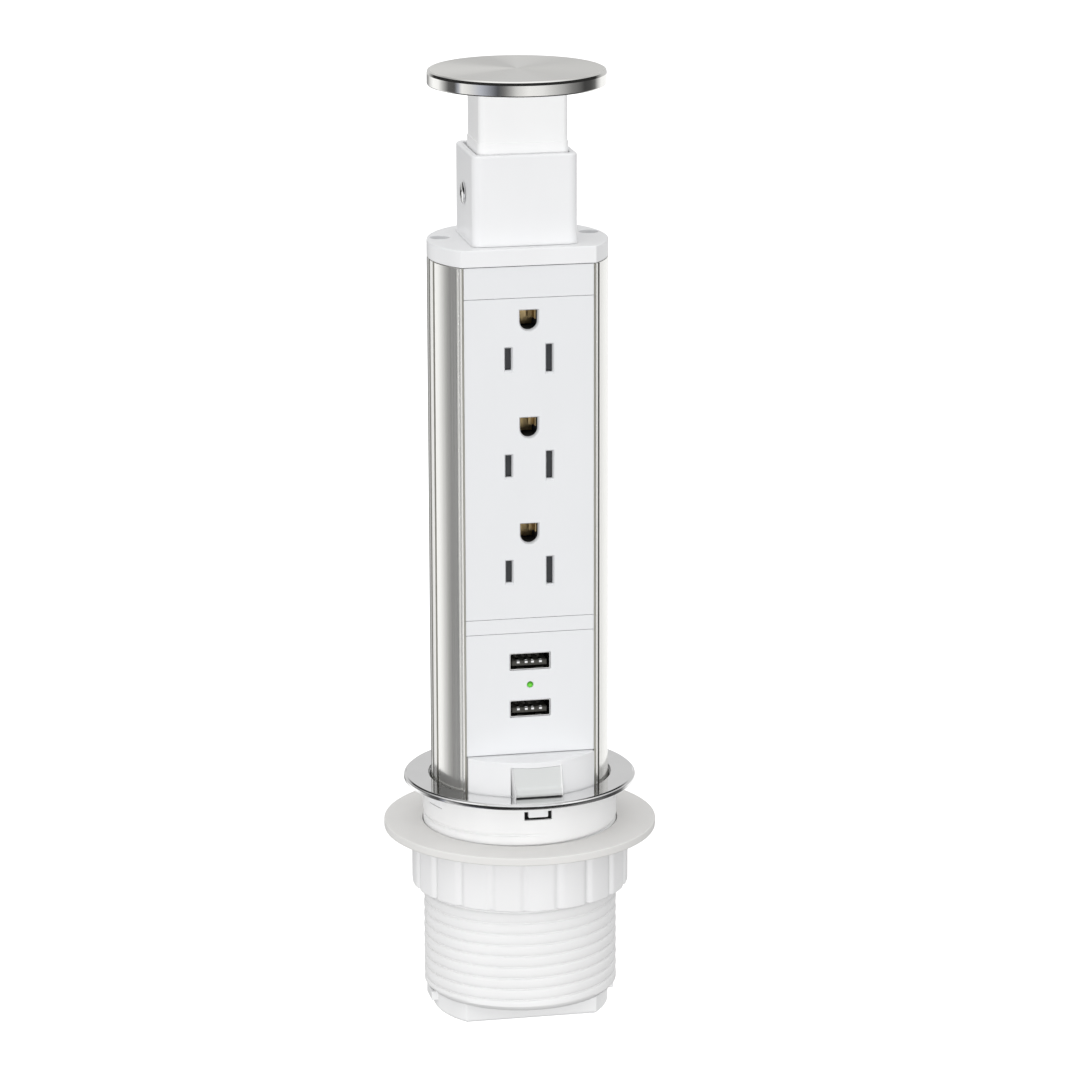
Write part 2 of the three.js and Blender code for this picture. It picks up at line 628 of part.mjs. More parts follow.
// ---- Outlets: carrier, bus bars, shutters ----
function addSocketCarrier() {
  const { x, front, back, bottom, top } = CARRIER;
  const body = box([-x, x], [front, back], [bottom, top]);
  const cuts = OUTLET_ROWS_Z.flatMap((z) => {
    const pocketZ = [z - SHUTTER.halfHeight - GAP, z + SHUTTER.halfHeight + GAP];
    const pocketX = [SHUTTER.left - GAP, SHUTTER.right + SHUTTER_TRAVEL + GAP];
    const groundZ = z + GROUND_DZ;
    return [
      box(pocketX, [front - 1, front + POCKET_DEPTH], pocketZ),
      box([-SLOT_X - 2.1, -SLOT_X + 2.1], [front, back + 1], [z - 4.6, z + 4.6]),
      box([SLOT_X - 2.1, SLOT_X + 2.1], [front, back + 1], [z - 4.6, z + 4.6]),
      box([-3.1, 3.1], [front - 1, back + 1], [groundZ - 3.3, groundZ + 3.3]),
    ];
  });
  const channels = BUSES.map(({ x: at, rise, leafGap }) => {
    const half = leafGap + BUS.leafSheet + 0.35;
    return box([at - half, at + half], [1.2, back + 1], [bottom - 1, OUTLET_ROWS_Z[0] + rise + 4.6]);
  });
  piece("socket_carrier", cut(body, ...cuts, ...channels), CHARCOAL);
}

function addBusBar({ name, x, rise, leafHalfHeight, leafGap }) {
  const { back, sheet, foot, leafFront, leafSheet } = BUS;
  const rows = OUTLET_ROWS_Z.map((z) => z + rise);
  const halfWidth = leafGap + leafSheet;
  const strip = box([x - halfWidth, x + halfWidth], [back - sheet, back], [foot, rows[0] + leafHalfHeight]);
  const leaves = rows.flatMap((z) =>
    [-1, 1].map((side) => {
      const across = [x + side * leafGap, x + side * (leafGap + leafSheet)].sort((a, b) => a - b);
      return box(across, [leafFront, back - sheet / 2], [z - leafHalfHeight, z + leafHalfHeight]);
    }),
  );
  piece(name, join(strip, ...leaves), CONTACT_BRASS);
}

function addShutters() {
  const { left, right, halfHeight, front, back } = SHUTTER;
  ["upper", "middle", "lower"].forEach((place, row) => {
    const z = OUTLET_ROWS_Z[row];
    const plate = box([left, right], [front, back], [z - halfHeight, z + halfHeight]);
    const windows = [-SLOT_X, SLOT_X].map((x) => {
      const centre = x - SHUTTER_TRAVEL;
      return box([centre - 1.2, centre + 1.2], [front - 1, back + 1], [z - 4.3, z + 4.3]);
    });
    piece(`shutter_${place}`, cut(plate, ...windows), CHARCOAL);
  });
}

// ---- USB charger: ports, board, coil, capacitor and lamp ----
function addUsbPort(place, z) {
  const outside = [[-USB_W / 2, USB_W / 2], [-17.8, -17.8 + USB_DEPTH], [z - USB_H / 2, z + USB_H / 2]];
  const inner = USB_SHEET;
  const hollow = box([-USB_W / 2 + inner, USB_W / 2 - inner], [-19, -17.8 + USB_DEPTH + 1],
    [z - USB_H / 2 + inner, z + USB_H / 2 - inner]);
  piece(`usb_shell_${place}`, cut(box(...outside), hollow), POLISHED_STEEL);
  const tongue = box([-5.55, 5.55], [-16.6, -6.0], [z - 1.75, z - 0.05]);
  const plug = box([-5.9, 5.9], [-7.0, -4.0], [z - 2.1, z + 2.1]);
  piece(`usb_tongue_${place}`, join(tongue, plug), BLACK_PLASTIC);
}

function addUsbBoard() {
  piece("usb_board", box([-BOARD.x, BOARD.x], BOARD.y, BOARD.z), BOARD_GREEN);
  const bullet = [
    [0, 0],
    [LED_R, 0],
    [LED_R, 3.2],
    [0.7 * LED_R, 3.7],
    [0, 3.9],
  ].map(([r, y]) => new THREE.Vector2(r, y));
  const lamp = new THREE.LatheGeometry(bullet, 12).rotateX(Math.PI);
  piece("status_lamp", lamp, LED_GREEN, [0, -13.9, LED_Z]);
  const soldered = BOARD.y[1] + 0.2;
  piece("usb_coil", peg(5, [soldered, soldered + 7], [-7.5, 24], 20), COPPER_ENAMEL);
  piece("usb_capacitor", peg(4, [soldered, soldered + 12], [7.5, 24], 20), BLACK_PLASTIC);
}

// ---- Wiring ----
function addWiring() {
  const { r, y } = CORD;
  const collar = [
    [r + 0.2, CAP_PLATE_BOTTOM],
    [r + 1.3, CAP_PLATE_BOTTOM],
    [r + 1.3, COLUMN_BOTTOM + 1],
    [r + 0.2, COLUMN_BOTTOM + 1],
  ];
  piece("cord_bushing", ringOf(collar, 24), BLACK_PLASTIC, [0, y, 0]);
  piece("cord_stub", post(r, [CAP_PLATE_BOTTOM, COLUMN_BOTTOM + 12], [0, y]), WHITE);
  const start = COLUMN_BOTTOM + 12 + GAP;
  const runs = { hot: -SLOT_X, ground: 0, neutral: SLOT_X };
  const looks = { hot: BLACK_PLASTIC, ground: BOARD_GREEN, neutral: WHITE };
  for (const [name, x] of Object.entries(runs)) {
    const path = [
      [x * 0.3, y, start],
      [x * 0.9, y + 4, start + 24],
      [x * 0.4, y + 12, 0],
      [x, y + 8, 34],
      [x, BUS.back - 0.4, BUS.foot - GAP],
    ];
    piece(`${name}_wire`, rodAlong(path, CORD.conductorR), looks[name]);
  }
}

addTrimRing();
addRingCarrier();
addThreadedSleeve();
addClampWasher();
addLockNut();
addExtrusion();
addTopPlate();
addBottomCap();
addPanels();
addBaseBlock();
addLatch();
addCollar();
addPost();
addCap();
addNeckSpring();
addPushLatch();
addSocketCarrier();
BUSES.forEach(addBusBar);
addShutters();
USB_ROWS_Z.forEach((z, row) => addUsbPort(["upper", "lower"][row], z));
addUsbBoard();
addWiring();

model.position.z = -CAP_PLATE_BOTTOM;

export default model;
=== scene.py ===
"""Looks of a pop-up desk power tower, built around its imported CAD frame.

Shapes are drawn in millimetres, in the frame's own axes, and scaled to metres when a piece is made.
"""

import json
from math import acos, asin, atan2, ceil, copysign, cos, degrees, hypot, pi, radians, sin, sqrt, tan

import bmesh
import bpy
from mathutils import Matrix, Vector


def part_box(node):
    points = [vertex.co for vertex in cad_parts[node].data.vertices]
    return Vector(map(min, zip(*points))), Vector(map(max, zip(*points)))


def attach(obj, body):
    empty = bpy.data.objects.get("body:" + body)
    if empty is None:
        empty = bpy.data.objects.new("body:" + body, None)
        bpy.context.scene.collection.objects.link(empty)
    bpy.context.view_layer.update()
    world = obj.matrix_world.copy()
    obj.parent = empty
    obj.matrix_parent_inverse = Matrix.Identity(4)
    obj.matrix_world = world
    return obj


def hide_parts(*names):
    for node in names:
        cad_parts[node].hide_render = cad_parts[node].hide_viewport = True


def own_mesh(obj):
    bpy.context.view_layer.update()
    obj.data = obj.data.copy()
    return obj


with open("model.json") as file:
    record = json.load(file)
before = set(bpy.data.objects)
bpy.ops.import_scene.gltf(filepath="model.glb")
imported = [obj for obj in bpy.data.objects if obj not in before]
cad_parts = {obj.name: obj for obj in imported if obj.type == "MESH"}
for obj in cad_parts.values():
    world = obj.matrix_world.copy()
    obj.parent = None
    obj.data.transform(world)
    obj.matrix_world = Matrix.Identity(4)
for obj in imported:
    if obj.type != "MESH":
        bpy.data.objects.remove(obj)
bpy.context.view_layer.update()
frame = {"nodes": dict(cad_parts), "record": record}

MM = 0.001
BODY_OF = {node: body for body, nodes in frame["record"]["behaviour"]["bodies"].items() for node in nodes}
SLOT_OF = {part["node"]: part["material_slot"] for part in frame["record"]["subparts"]}


def span(node):
    """A CAD node's lowest and highest corner, in millimetres."""
    low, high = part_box(node)
    return low / MM, high / MM


# ---- Dimensions read from the frame ----
RING_LOW, RING_HIGH = span("trim_ring")
CARRIER_LOW, CARRIER_HIGH = span("ring_carrier")
SLEEVE_LOW, SLEEVE_HIGH = span("threaded_sleeve")
WASHER_LOW, WASHER_HIGH = span("clamp_washer")
NUT_LOW, NUT_HIGH = span("lock_nut")
COLUMN_LOW, COLUMN_HIGH = span("body_extrusion")
PLATE_LOW, PLATE_HIGH = span("top_plate")
FOOT_LOW, FOOT_HIGH = span("bottom_cap")
COLLAR_LOW, COLLAR_HIGH = span("neck_collar")
POST_LOW, POST_HIGH = span("neck_post")
CAP_LOW, CAP_HIGH = span("cap_disc")
BLOCK_LOW, BLOCK_HIGH = span("base_block")
LATCH_LOW, LATCH_HIGH = span("latch_button")
DESK = RING_LOW.z
COLUMN_R = COLUMN_HIGH.x
FRONT_Y = COLUMN_LOW.y
PANEL_FRONT, PANEL_BACK = span("outlet_panel")[0].y, span("outlet_panel")[1].y

# ---- Dimensions that the boxes don't show ----
RING_OPENING_R = 28.6
RING_RIM = 1.6
RING_SHEET = 0.8
SKIRT_R = (28.3, 29.1)
SNAP_ANGLES = [-90 + 72 * i for i in range(5)]
SNAP_LOW, SNAP_HIGH = DESK - 5.2, DESK - 2.4
SNAP_HALF_ANGLE = 8.25
SLEEVE_BORE_R = 28.2
SLEEVE_MOUTH_R = 29.5
SLEEVE_MOUTH_LOW = DESK - 8.5
THREAD_PITCH = 3.6
THREAD_TURNS = 15.5
THREAD_TOP = DESK - 10.0
THREAD_DEPTH = 0.9
WASHER_BORE_R = 30.6
NUT_BORE_R = 31.1
NUT_GROOVE_DEPTH = 0.85
NUT_LOBES = 20
GROOVES_Y = (-6, -2, 2, 6)
GROOVE_W = 1.05
GROOVE_DEPTH = 0.8
WALL = 1.6
SCREW_X, SCREW_Y = 23.2, 5.0
OUTLET_ROWS = [DESK + z for z in (137.95, 104.6, 71.3)]
SLOT_X = 6.35
GROUND_RISE = 11.86
USB_ROWS = {"upper": DESK + 42.3, "lower": DESK + 27.2}
LAMP_Z = DESK + 34.8
LATCH_HALF = LATCH_HIGH.x
LATCH_SPRING_Z = DESK + 6.4
COLLAR_SCREW_Z = DESK + 186
POST_HOLLOW_TOP = DESK + 216
CORD_Y = 10
SMOOTH = 3  # steps in a small rounded edge


# ---- Outlines ----
def polar(radius, angle, z):
    return (radius * cos(angle), radius * sin(angle), z)


def arc(radius, start, stop, centre=(0, 0), step=3.0):
    """Points along an arc, in degrees, ends included."""
    count = max(2, ceil(abs(stop - start) / step))
    angles = [radians(start + (stop - start) * i / count) for i in range(count + 1)]
    return [(centre[0] + radius * cos(a), centre[1] + radius * sin(a)) for a in angles]


def circle(radius, centre=(0, 0), sides=48):
    return arc(radius, 0, 360, centre, 360 / sides)[:-1]


def rectangle(x0, x1, y0, y1):
    return [(x0, y0), (x1, y0), (x1, y1), (x0, y1)]


def fillet(points, radii, steps=5):
    """Rounds the corners of a closed outline. radii is one number, or one for each corner."""
    if not isinstance(radii, (list, tuple)):
        radii = [radii] * len(points)
    made = []
    for i, radius in enumerate(radii):
        before, corner, after = (Vector(points[j % len(points)]) for j in (i - 1, i, i + 1))
        if radius <= 0:
            made.append(tuple(corner))
            continue
        u, v = (before - corner), (after - corner)
        reach = 0.48 * min(u.length, v.length)
        u.normalize()
        v.normalize()
        half = u.angle(v) / 2
        length = min(radius / tan(half), reach)
        radius = length * tan(half)
        centre = corner + (u + v).normalized() * (radius / sin(half))
        start, end = corner + u * length - centre, corner + v * length - centre
        turn = start.angle_signed(end)
        for k in range(steps + 1):
            made.append(tuple(centre + Matrix.Rotation(-turn * k / steps, 2) @ start))
    return made


def rounded(x0, x1, y0, y1, radius, steps=5):
    return fillet(rectangle(x0, x1, y0, y1), radius, steps)


def anticlockwise(outline):
    area = sum(a[0] * b[1] - b[0] * a[1] for a, b in zip(outline, outline[1:] + outline[:1]))
    return outline[::-1] if area < 0 else outline


def inset(points, distance):
    """An anticlockwise outline moved inwards."""
    made = []
    for i, point in enumerate(points):
        before, here, after = Vector(points[i - 1]), Vector(point), Vector(points[(i + 1) % len(points)])
        first, second = (here - before).normalized(), (after - here).normalized()
        n, m = Vector((-first.y, first.x)), Vector((-second.y, second.x))
        made.append(tuple(here + (n + m) * (distance / max(0.2, 1 + n.dot(m)))))
    return made


def layers(outline, low, high, low_edge=0.0, high_edge=0.0, steps=SMOOTH):
    """(outline, level) pairs from low to high, with a quarter-round of each edge radius at the ends.
    A hole's edges are negative, so that it opens towards the face."""
    made = []
    for radius, level, sign in ((low_edge, low, 1), (high_edge, high, -1)):
        rows = [(outline, level)]
        if radius:
            quarter = [radians(90 * k / steps) for k in range(steps + 1)]
            rows = [(inset(outline, radius * (1 - sin(a))),
                     level + sign * abs(radius) * (1 - cos(a))) for a in quarter]
        made += rows if sign > 0 else rows[::-1]
    return made


# ---- Meshes ----
def upright(u, v, level):
    return (u, v, level)


def facing(u, v, level):
    """Drawn in X and Z as the panels are, with levels along Y."""
    return (u, level, v)


def sideways(u, v, level):
    """Drawn in Y and Z, with levels along X."""
    return (level, u, v)


class Shape:
    """A mesh under construction, in millimetres. Points that coincide share one vertex."""

    def __init__(self):
        self.bm = bmesh.new()
        self.seen = {}

    def vert(self, point):
        key = tuple(round(c * 2000) for c in point)
        if key not in self.seen:
            self.seen[key] = self.bm.verts.new(point)
        return self.seen[key]

    def face(self, points):
        verts = list(dict.fromkeys(self.vert(p) for p in points))
        if len(verts) > 2 and not self.bm.faces.get(verts):
            self.bm.faces.new(verts)
        return self

    def grid(self, rows, closed=False):
        """Quads between rows of points. closed joins each row's end to its start."""
        for a, b in zip(rows, rows[1:]):
            count = len(a)
            for i in range(count if closed else count - 1):
                j = (i + 1) % count
                self.face([a[i], a[j], b[j], b[i]])
        return self

    def cap(self, loops):
        """A flat face between an outer loop and any holes."""
        if len(loops) == 1:
            return self.face(loops[0])
        edges = []
        for loop in loops:
            verts = [self.vert(p) for p in loop]
            for a, b in zip(verts, verts[1:] + verts[:1]):
                if a is not b:
                    edges.append(self.bm.edges.get((a, b)) or self.bm.edges.new((a, b)))
        bmesh.ops.triangle_fill(self.bm, use_beauty=True, edges=edges)
        return self

    def stack(self, outer, holes=(), place=upright):
        """A solid through (outline, level) layers, with through holes given the same way."""
        walls = [[[place(u, v, level) for u, v in outline] for outline, level in rows]
                 for rows in (outer, *holes)]
        for wall in walls:
            self.grid(wall, closed=True)
        for end in (0, -1):
            self.cap([wall[end] for wall in walls])
        return self

    def turn(self, profile, sides, closed=True):
        """A profile of (radius, height) turned about the Z axis."""
        rings = [[polar(r, 2 * pi * i / sides, z) for r, z in profile + profile[:closed]]
                 for i in range(sides)]
        for i, ring in enumerate(rings):
            other = rings[(i + 1) % sides]
            for k in range(len(ring) - 1):
                self.face([ring[k], other[k], other[k + 1], ring[k + 1]])
        return self

    def tube(self, path, radius, sides):
        """A round bar along a path, its ends slightly rounded."""
        points = [Vector(p) for p in path]
        tangents = [(points[min(i + 1, len(points) - 1)] - points[max(i - 1, 0)]).normalized()
                    for i in range(len(points))]
        side = tangents[0].orthogonal().normalized()
        rings = []
        for point, tangent in zip(points, tangents):
            side = (side - tangent * side.dot(tangent)).normalized()
            other = tangent.cross(side)
            rings.append([point + (side * cos(a) + other * sin(a)) * radius
                          for a in [2 * pi * k / sides for k in range(sides)]])
        for end, direction in ((0, -1), (-1, 1)):
            middle = points[end]
            small = [middle + (p - middle) * 0.75 + tangents[end] * direction * radius * 0.25
                     for p in rings[end]]
            rings.insert(0 if end == 0 else len(rings), small)
        self.grid(rings, closed=True)
        return self.face(rings[0]).face(rings[-1])

    def paint(self, choose):
        """Sets each face's material to choose(its normal, its middle)."""
        for face in self.bm.faces:
            face.normal_update()
            face.material_index = choose(face.normal, face.calc_center_median())
        return self

    def moved(self, matrix):
        bmesh.ops.transform(self.bm, matrix=matrix, verts=self.bm.verts)
        self.seen = {}
        return self

    def mesh(self, name):
        bmesh.ops.recalc_face_normals(self.bm, faces=self.bm.faces)
        made = bpy.data.meshes.new(name)
        self.bm.to_mesh(made)
        self.bm.free()
        return made


def in_scene(name, data):
    """A new object that shows the data."""
    made = bpy.data.objects.new(name, data)
    bpy.context.scene.collection.objects.link(made)
    return made


def joined(target, tools, operation="DIFFERENCE"):
    """The target shape cut by, or fused with, the other shapes."""
    objects = [in_scene("working", shape.mesh("working")) for shape in [target, *tools]]
    for tool in objects[1:]:
        modifier = objects[0].modifiers.new("combine", "BOOLEAN")
        modifier.operation = operation
        modifier.solver = "EXACT"
        modifier.object = tool
    bpy.context.view_layer.update()
    result = Shape()
    evaluated = objects[0].evaluated_get(bpy.context.evaluated_depsgraph_get())
    result.bm.from_mesh(evaluated.to_mesh())
    for obj in objects:
        bpy.data.objects.remove(obj)
    return result


def slab(outline, *limits, place=upright):
    """A solid between two levels, with the arguments of layers."""
    return Shape().stack(layers(outline, *limits), place=place)


def block(x, y, z, edge):
    """A block between pairs of limits, its vertical edges and rims rounded."""
    return slab(rounded(*x, *y, edge), *z, edge * 0.6, edge * 0.6)


# ---- Materials ----
class Tree:
    """Short names for building a node tree."""

    def __init__(self, tree):
        self.tree = tree

    def feed(self, socket, value):
        if isinstance(value, bpy.types.NodeSocket):
            self.tree.links.new(value, socket)
        else:
            socket.default_value = value

    def node(self, kind, settings=(), **inputs):
        """A node, its inputs given by name or by number, as i0."""
        made = self.tree.nodes.new("ShaderNode" + kind)
        for key, value in dict(settings).items():
            setattr(made, key, value)
        for key, value in inputs.items():
            self.feed(made.inputs[int(key[1:]) if key[1:].isdigit() else key], value)
        return made

    def steps(self, value, stops):
        """A ramp through (place, colour) stops."""
        made = self.node("ValToRGB", i0=value)
        elements = made.color_ramp.elements
        while len(elements) < len(stops):
            elements.new(0.5)
        for element, (place, colour) in zip(elements, stops):
            element.position = place
            element.color = (*colour, 1)
        return made.outputs[0]

    def ramp(self, value, low, high, start=0.3, stop=0.7):
        """Maps a value between two levels or two colours."""
        if isinstance(low, (int, float)):
            levels = {"i1": start, "i2": stop, "i3": low, "i4": high}
            return self.node("MapRange", {"clamp": True}, i0=value, **levels).outputs[0]
        return self.steps(value, [(start, low), (stop, high)])

    def math(self, operation, *values):
        inputs = {f"i{k}": v for k, v in enumerate(values)}
        return self.node("Math", {"operation": operation}, **inputs).outputs[0]

    def length(self, x, y):
        return self.math("SQRT", self.plus(self.times(x, x), self.times(y, y)))

    def plus(self, first, second):
        return self.math("ADD", first, second)

    def times(self, first, second):
        return self.math("MULTIPLY", first, second)

    def parts(self, vector):
        return self.node("SeparateXYZ", Vector=vector).outputs

    def mix(self, factor, first, second, blend="MIX"):
        settings = {"data_type": "RGBA", "blend_type": blend}
        return self.node("Mix", settings, i0=factor, i6=first, i7=second).outputs[2]


class Nodes(Tree):
    """One material's node tree."""

    def __init__(self, name):
        self.material = bpy.data.materials.new(name)
        self.material.use_nodes = True
        super().__init__(self.material.node_tree)
        self.shader = self.tree.nodes["Principled BSDF"]
        self.where = self.node("TexCoord").outputs["Object"]

    def noise(self, scale, detail=3.0, stretch=(1, 1, 1), where=None):
        mapped = self.node("Mapping", Vector=where or self.where, Scale=stretch).outputs[0]
        made = self.node("TexNoise", Vector=mapped, Scale=scale, Detail=detail, Roughness=0.55)
        return made.outputs["Fac"]

    def bump(self, height, strength, distance):
        made = self.node("Bump", Height=height, Strength=strength, Distance=distance)
        self.feed(self.shader.inputs["Normal"], made.outputs[0])

    def put(self, **inputs):
        for key, value in inputs.items():
            self.feed(self.shader.inputs[key.replace("_", " ")], value)


def shade(colour, factor):
    return tuple(min(1.0, c * factor) for c in colour)


def uneven(name, colour, roughness, tone, gloss, relief, **settings):
    """A material whose colour, gloss and surface vary. tone and gloss are a noise's arguments, then the
    lowest and highest share; relief is a noise's arguments, then its strength and its distance."""
    n = Nodes(name)
    n.put(Base_Color=n.ramp(n.noise(*tone[0]), shade(colour, tone[1]), shade(colour, tone[2])))
    n.put(Roughness=n.ramp(n.noise(*gloss[0]), roughness * gloss[1], roughness * gloss[2]))
    n.bump(n.noise(*relief[0]), *relief[1:])
    n.put(**settings)
    return n.material


def plastic(name, colour, roughness, grain=0.12, mottling=0.015, coat=0.0):
    """Moulded plastic: a fine spark-eroded grain, faint flow variation and uneven gloss."""
    tone = ((60, 2, (1, 1, 0.5)), 1 - mottling, 1 + mottling)
    return uneven(name, colour, roughness, tone, ((420, 3), 0.92, 1.1), ((5200, 2), grain, 0.00003),
                  Coat_Weight=coat, Coat_Roughness=0.15)


def drawn_metal(name, colour, roughness, streak=(900, 900, 6), grain=0.12, metallic=1.0):
    """Metal with fine lines drawn along Z. An anodised one is a little less metallic."""
    lines = (1, 4, streak)
    return uneven(name, colour, roughness, (lines, 0.95, 1.03), (lines, 0.85, 1.2), (lines, grain, 0.00001),
                  Metallic=metallic, Anisotropic=0.35)


def spun_metal(name, colour, roughness):
    """A face brushed in circles about Z, and a polished edge."""
    n = Nodes(name)
    x, y, _ = n.parts(n.where)
    radius = n.length(x, y)
    turn = n.math("ARCTAN2", y, x)
    rings_at = n.node("CombineXYZ", X=radius, Y=n.times(turn, 0.0006)).outputs[0]
    lines = n.noise(9000, 3, where=rings_at)
    # Painted highlights: the cones of light that a spun face shows, by direction from +X, painted into the
    # colour.
    share = n.plus(n.math("DIVIDE", turn, 2 * pi), 0.5)
    tones = [(-180, 1.05), (-158, 1.04), (-148, 0.99), (-110, 1.0), (-85, 1.03), (-50, 0.98),
             (-25, 0.94), (0, 0.94), (35, 0.96), (60, 1.06), (80, 1.08), (92, 1.01), (100, 0.93),
             (128, 0.94), (150, 1.02), (180, 1.05)]
    lit = n.steps(share, [((angle + 180) / 360, shade(colour, tone)) for angle, tone in tones])
    facing_up = n.parts(n.node("NewGeometry").outputs["Normal"])[2]
    face = n.ramp(facing_up, 0.0, 1.0, 0.95, 0.99)
    mixed = n.mix(face, (*shade(colour, 1.04), 1), lit)
    n.put(Metallic=1.0, Base_Color=mixed, Anisotropic=n.times(face, 0.6))
    brushed = n.ramp(lines, roughness * 0.9, roughness * 1.15)
    n.put(Roughness=n.plus(n.times(face, n.math("SUBTRACT", brushed, 0.1)), 0.1))
    n.put(Tangent=n.node("Tangent", {"direction_type": "RADIAL", "axis": "Z"}).outputs[0])
    n.bump(n.times(lines, face), 0.12, 0.00001)
    return n.material


def polished_metal(name, colour, roughness):
    """Bright metal with faint haze and hairlines."""
    return uneven(name, colour, roughness, ((90, 3), 0.97, 1.02), ((700, 4, (1, 1, 3)), 0.7, 1.5),
                  ((1600, 2), 0.02, 0.00001), Metallic=1.0)


def brass(name, colour, roughness):
    """Stamped strip, a little tarnished."""
    return uneven(name, colour, roughness, ((260, 4), 0.72, 1.1), ((900, 3, (1, 1, 0.2)), 0.8, 1.4),
                  ((2500, 2, (1, 1, 0.15)), 0.08, 0.00001), Metallic=1.0)


def circuit_board(name, colour):
    """Solder mask over a net of tracks."""
    n = Nodes(name)
    cells = n.node("TexVoronoi", {"feature": "DISTANCE_TO_EDGE"}, Vector=n.where, Scale=420.0, Randomness=0.6)
    tracks = n.ramp(cells.outputs[0], 1.0, 0.0, 0.03, 0.07)
    n.put(Base_Color=n.ramp(tracks, colour, shade(colour, 1.9), 0.2, 0.8))
    n.put(Roughness=n.ramp(n.noise(500, 2), 0.3, 0.42))
    n.bump(tracks, 0.25, 0.00003)
    return n.material


def lamp_lens(name, colour):
    """A green lens, lit from inside and darker at its upper edge."""
    n = Nodes(name)
    x, _, height = n.parts(n.where)
    rise = n.math("SUBTRACT", height, (LAMP_Z - 0.35) * MM)
    away = n.length(x, rise)
    glow = n.ramp(away, 1.0, 0.35, 0.0002, 0.0009)
    lit = n.times(glow, n.ramp(height, 1.0, 0.12, (LAMP_Z + 0.1) * MM, (LAMP_Z + 0.7) * MM))
    mottled = n.times(lit, n.ramp(n.noise(1500, 2), 0.85, 1.1))
    n.put(Base_Color=(*shade(colour, 0.45), 1), Roughness=0.2, Coat_Weight=0.6)
    n.put(Emission_Color=(*colour, 1), Emission_Strength=n.times(mottled, 0.75))
    return n.material


def wound_copper(name, colour):
    """Enamelled wire wound in close turns."""
    n = Nodes(name)
    turns = n.node("TexWave", {"bands_direction": "Y"}, Vector=n.where, Scale=480.0, Distortion=0.4)
    # Painted shade: the colour darkens in the valleys between turns.
    n.put(Metallic=0.8, Base_Color=n.ramp(turns.outputs[1], shade(colour, 0.45), colour, 0.1, 0.6))
    n.put(Roughness=n.ramp(n.noise(300, 3), 0.25, 0.4))
    n.bump(turns.outputs[1], 0.5, 0.0001)
    return n.material


def dark_gap(name):
    """Painted shade: near-black colour standing in for the unlit depth behind a snap window and inside a
    screw's cross recess.
    """
    n = Nodes(name)
    n.put(Base_Color=n.ramp(n.noise(900, 2), (0.004, 0.004, 0.004), (0.012, 0.012, 0.012)), Roughness=0.9)
    return n.material


RECIPES = {
    "white_gloss": (plastic, (0.90, 0.905, 0.915), 0.34, 0.05, 0.015, 0.15),
    "sleeve_white": (plastic, (0.93, 0.93, 0.93), 0.5, 0.06),
    "panel_white": (plastic, (0.85, 0.86, 0.875), 0.42, 0.1, 0.006),
    "nut_white": (plastic, (0.935, 0.935, 0.94), 0.45, 0.06),
    "washer_white": (plastic, (0.82, 0.812, 0.795), 0.5, 0.1),
    "satin_aluminium": (drawn_metal, (0.90, 0.895, 0.865), 0.19, (2600, 2600, 9), 0.04, 0.8),
    "brushed_steel": (spun_metal, (0.82, 0.815, 0.79), 0.34),
    "polished_steel": (polished_metal, (0.88, 0.88, 0.88), 0.07),
    "spring_steel": (drawn_metal, (0.55, 0.55, 0.56), 0.3, (300, 300, 300)),
    "contact_brass": (brass, (0.82, 0.62, 0.32), 0.36),
    "charcoal": (plastic, (0.048, 0.051, 0.055), 0.5, 0.15, 0.08),
    "black_plastic": (plastic, (0.062, 0.06, 0.052), 0.42, 0.12, 0.1),
    "board_green": (circuit_board, (0.02, 0.11, 0.045)),
    "lamp_green": (lamp_lens, (0.16, 0.72, 0.05)),
    "copper_enamel": (wound_copper, (0.55, 0.2, 0.08)),
    "cord_white": (plastic, (0.86, 0.86, 0.86), 0.55, 0.2),
    "dark_gap": (dark_gap,),
    "groove_shade": (drawn_metal, (0.16, 0.158, 0.145), 0.4),
    "seam_shade": (drawn_metal, (0.58, 0.575, 0.51), 0.35),
    "latch_grey": (plastic, (0.715, 0.73, 0.725), 0.4, 0.08),
    # Painted light: a brighter copy of white_gloss.
    "bright_white": (plastic, (0.95, 0.953, 0.955), 0.34, 0.05, 0.015, 0.15),
}
LOOKS = {name: kind(name, *settings) for name, (kind, *settings) in RECIPES.items()}


# ---- Pieces ----
def finished(name, shape, looks, sharp, body):
    """Makes an object from a shape, riding on a CAD body."""
    mesh = shape.mesh(name)
    mesh.transform(Matrix.Scale(MM, 4))
    mesh.shade_smooth()
    mesh.set_sharp_from_angle(angle=radians(sharp))
    for look in looks:
        mesh.materials.append(LOOKS[look])
    piece = in_scene(name, mesh)
    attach(piece, body)
    return piece


def stand_in(node, shape, sharp=38, extra=(), look=None, name=None):
    """A piece that rides where the CAD node rides and is shown instead of it. look and extra name its
    looks, and look is the node's own slot unless it is given."""
    slot = SLOT_OF[node]
    piece = finished(name or "fine_" + node, shape, (look or slot, *extra), sharp, BODY_OF[node])
    piece.modifiers.new("weighted_normals", "WEIGHTED_NORMAL").keep_sharp = True
    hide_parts(node)
    return piece


# ---- Desk grommet ----
def add_trim_ring():
    edge, top = RING_HIGH.x, RING_HIGH.z
    rim = edge - RING_RIM
    under = top - RING_SHEET
    profile = [(RING_OPENING_R, under), (rim, under), (rim, DESK), (edge, DESK), (edge - 0.14, top - 0.62),
               (edge - 0.62, top - 0.40), (edge - 0.87, top), (RING_OPENING_R, top)]
    radii = [0.15, 0.1, 0.1, 0.25, 0.16, 0.06, 0.06, 0.22]
    stand_in("trim_ring", Shape().turn(fillet(profile, radii, 6), 256), 25)


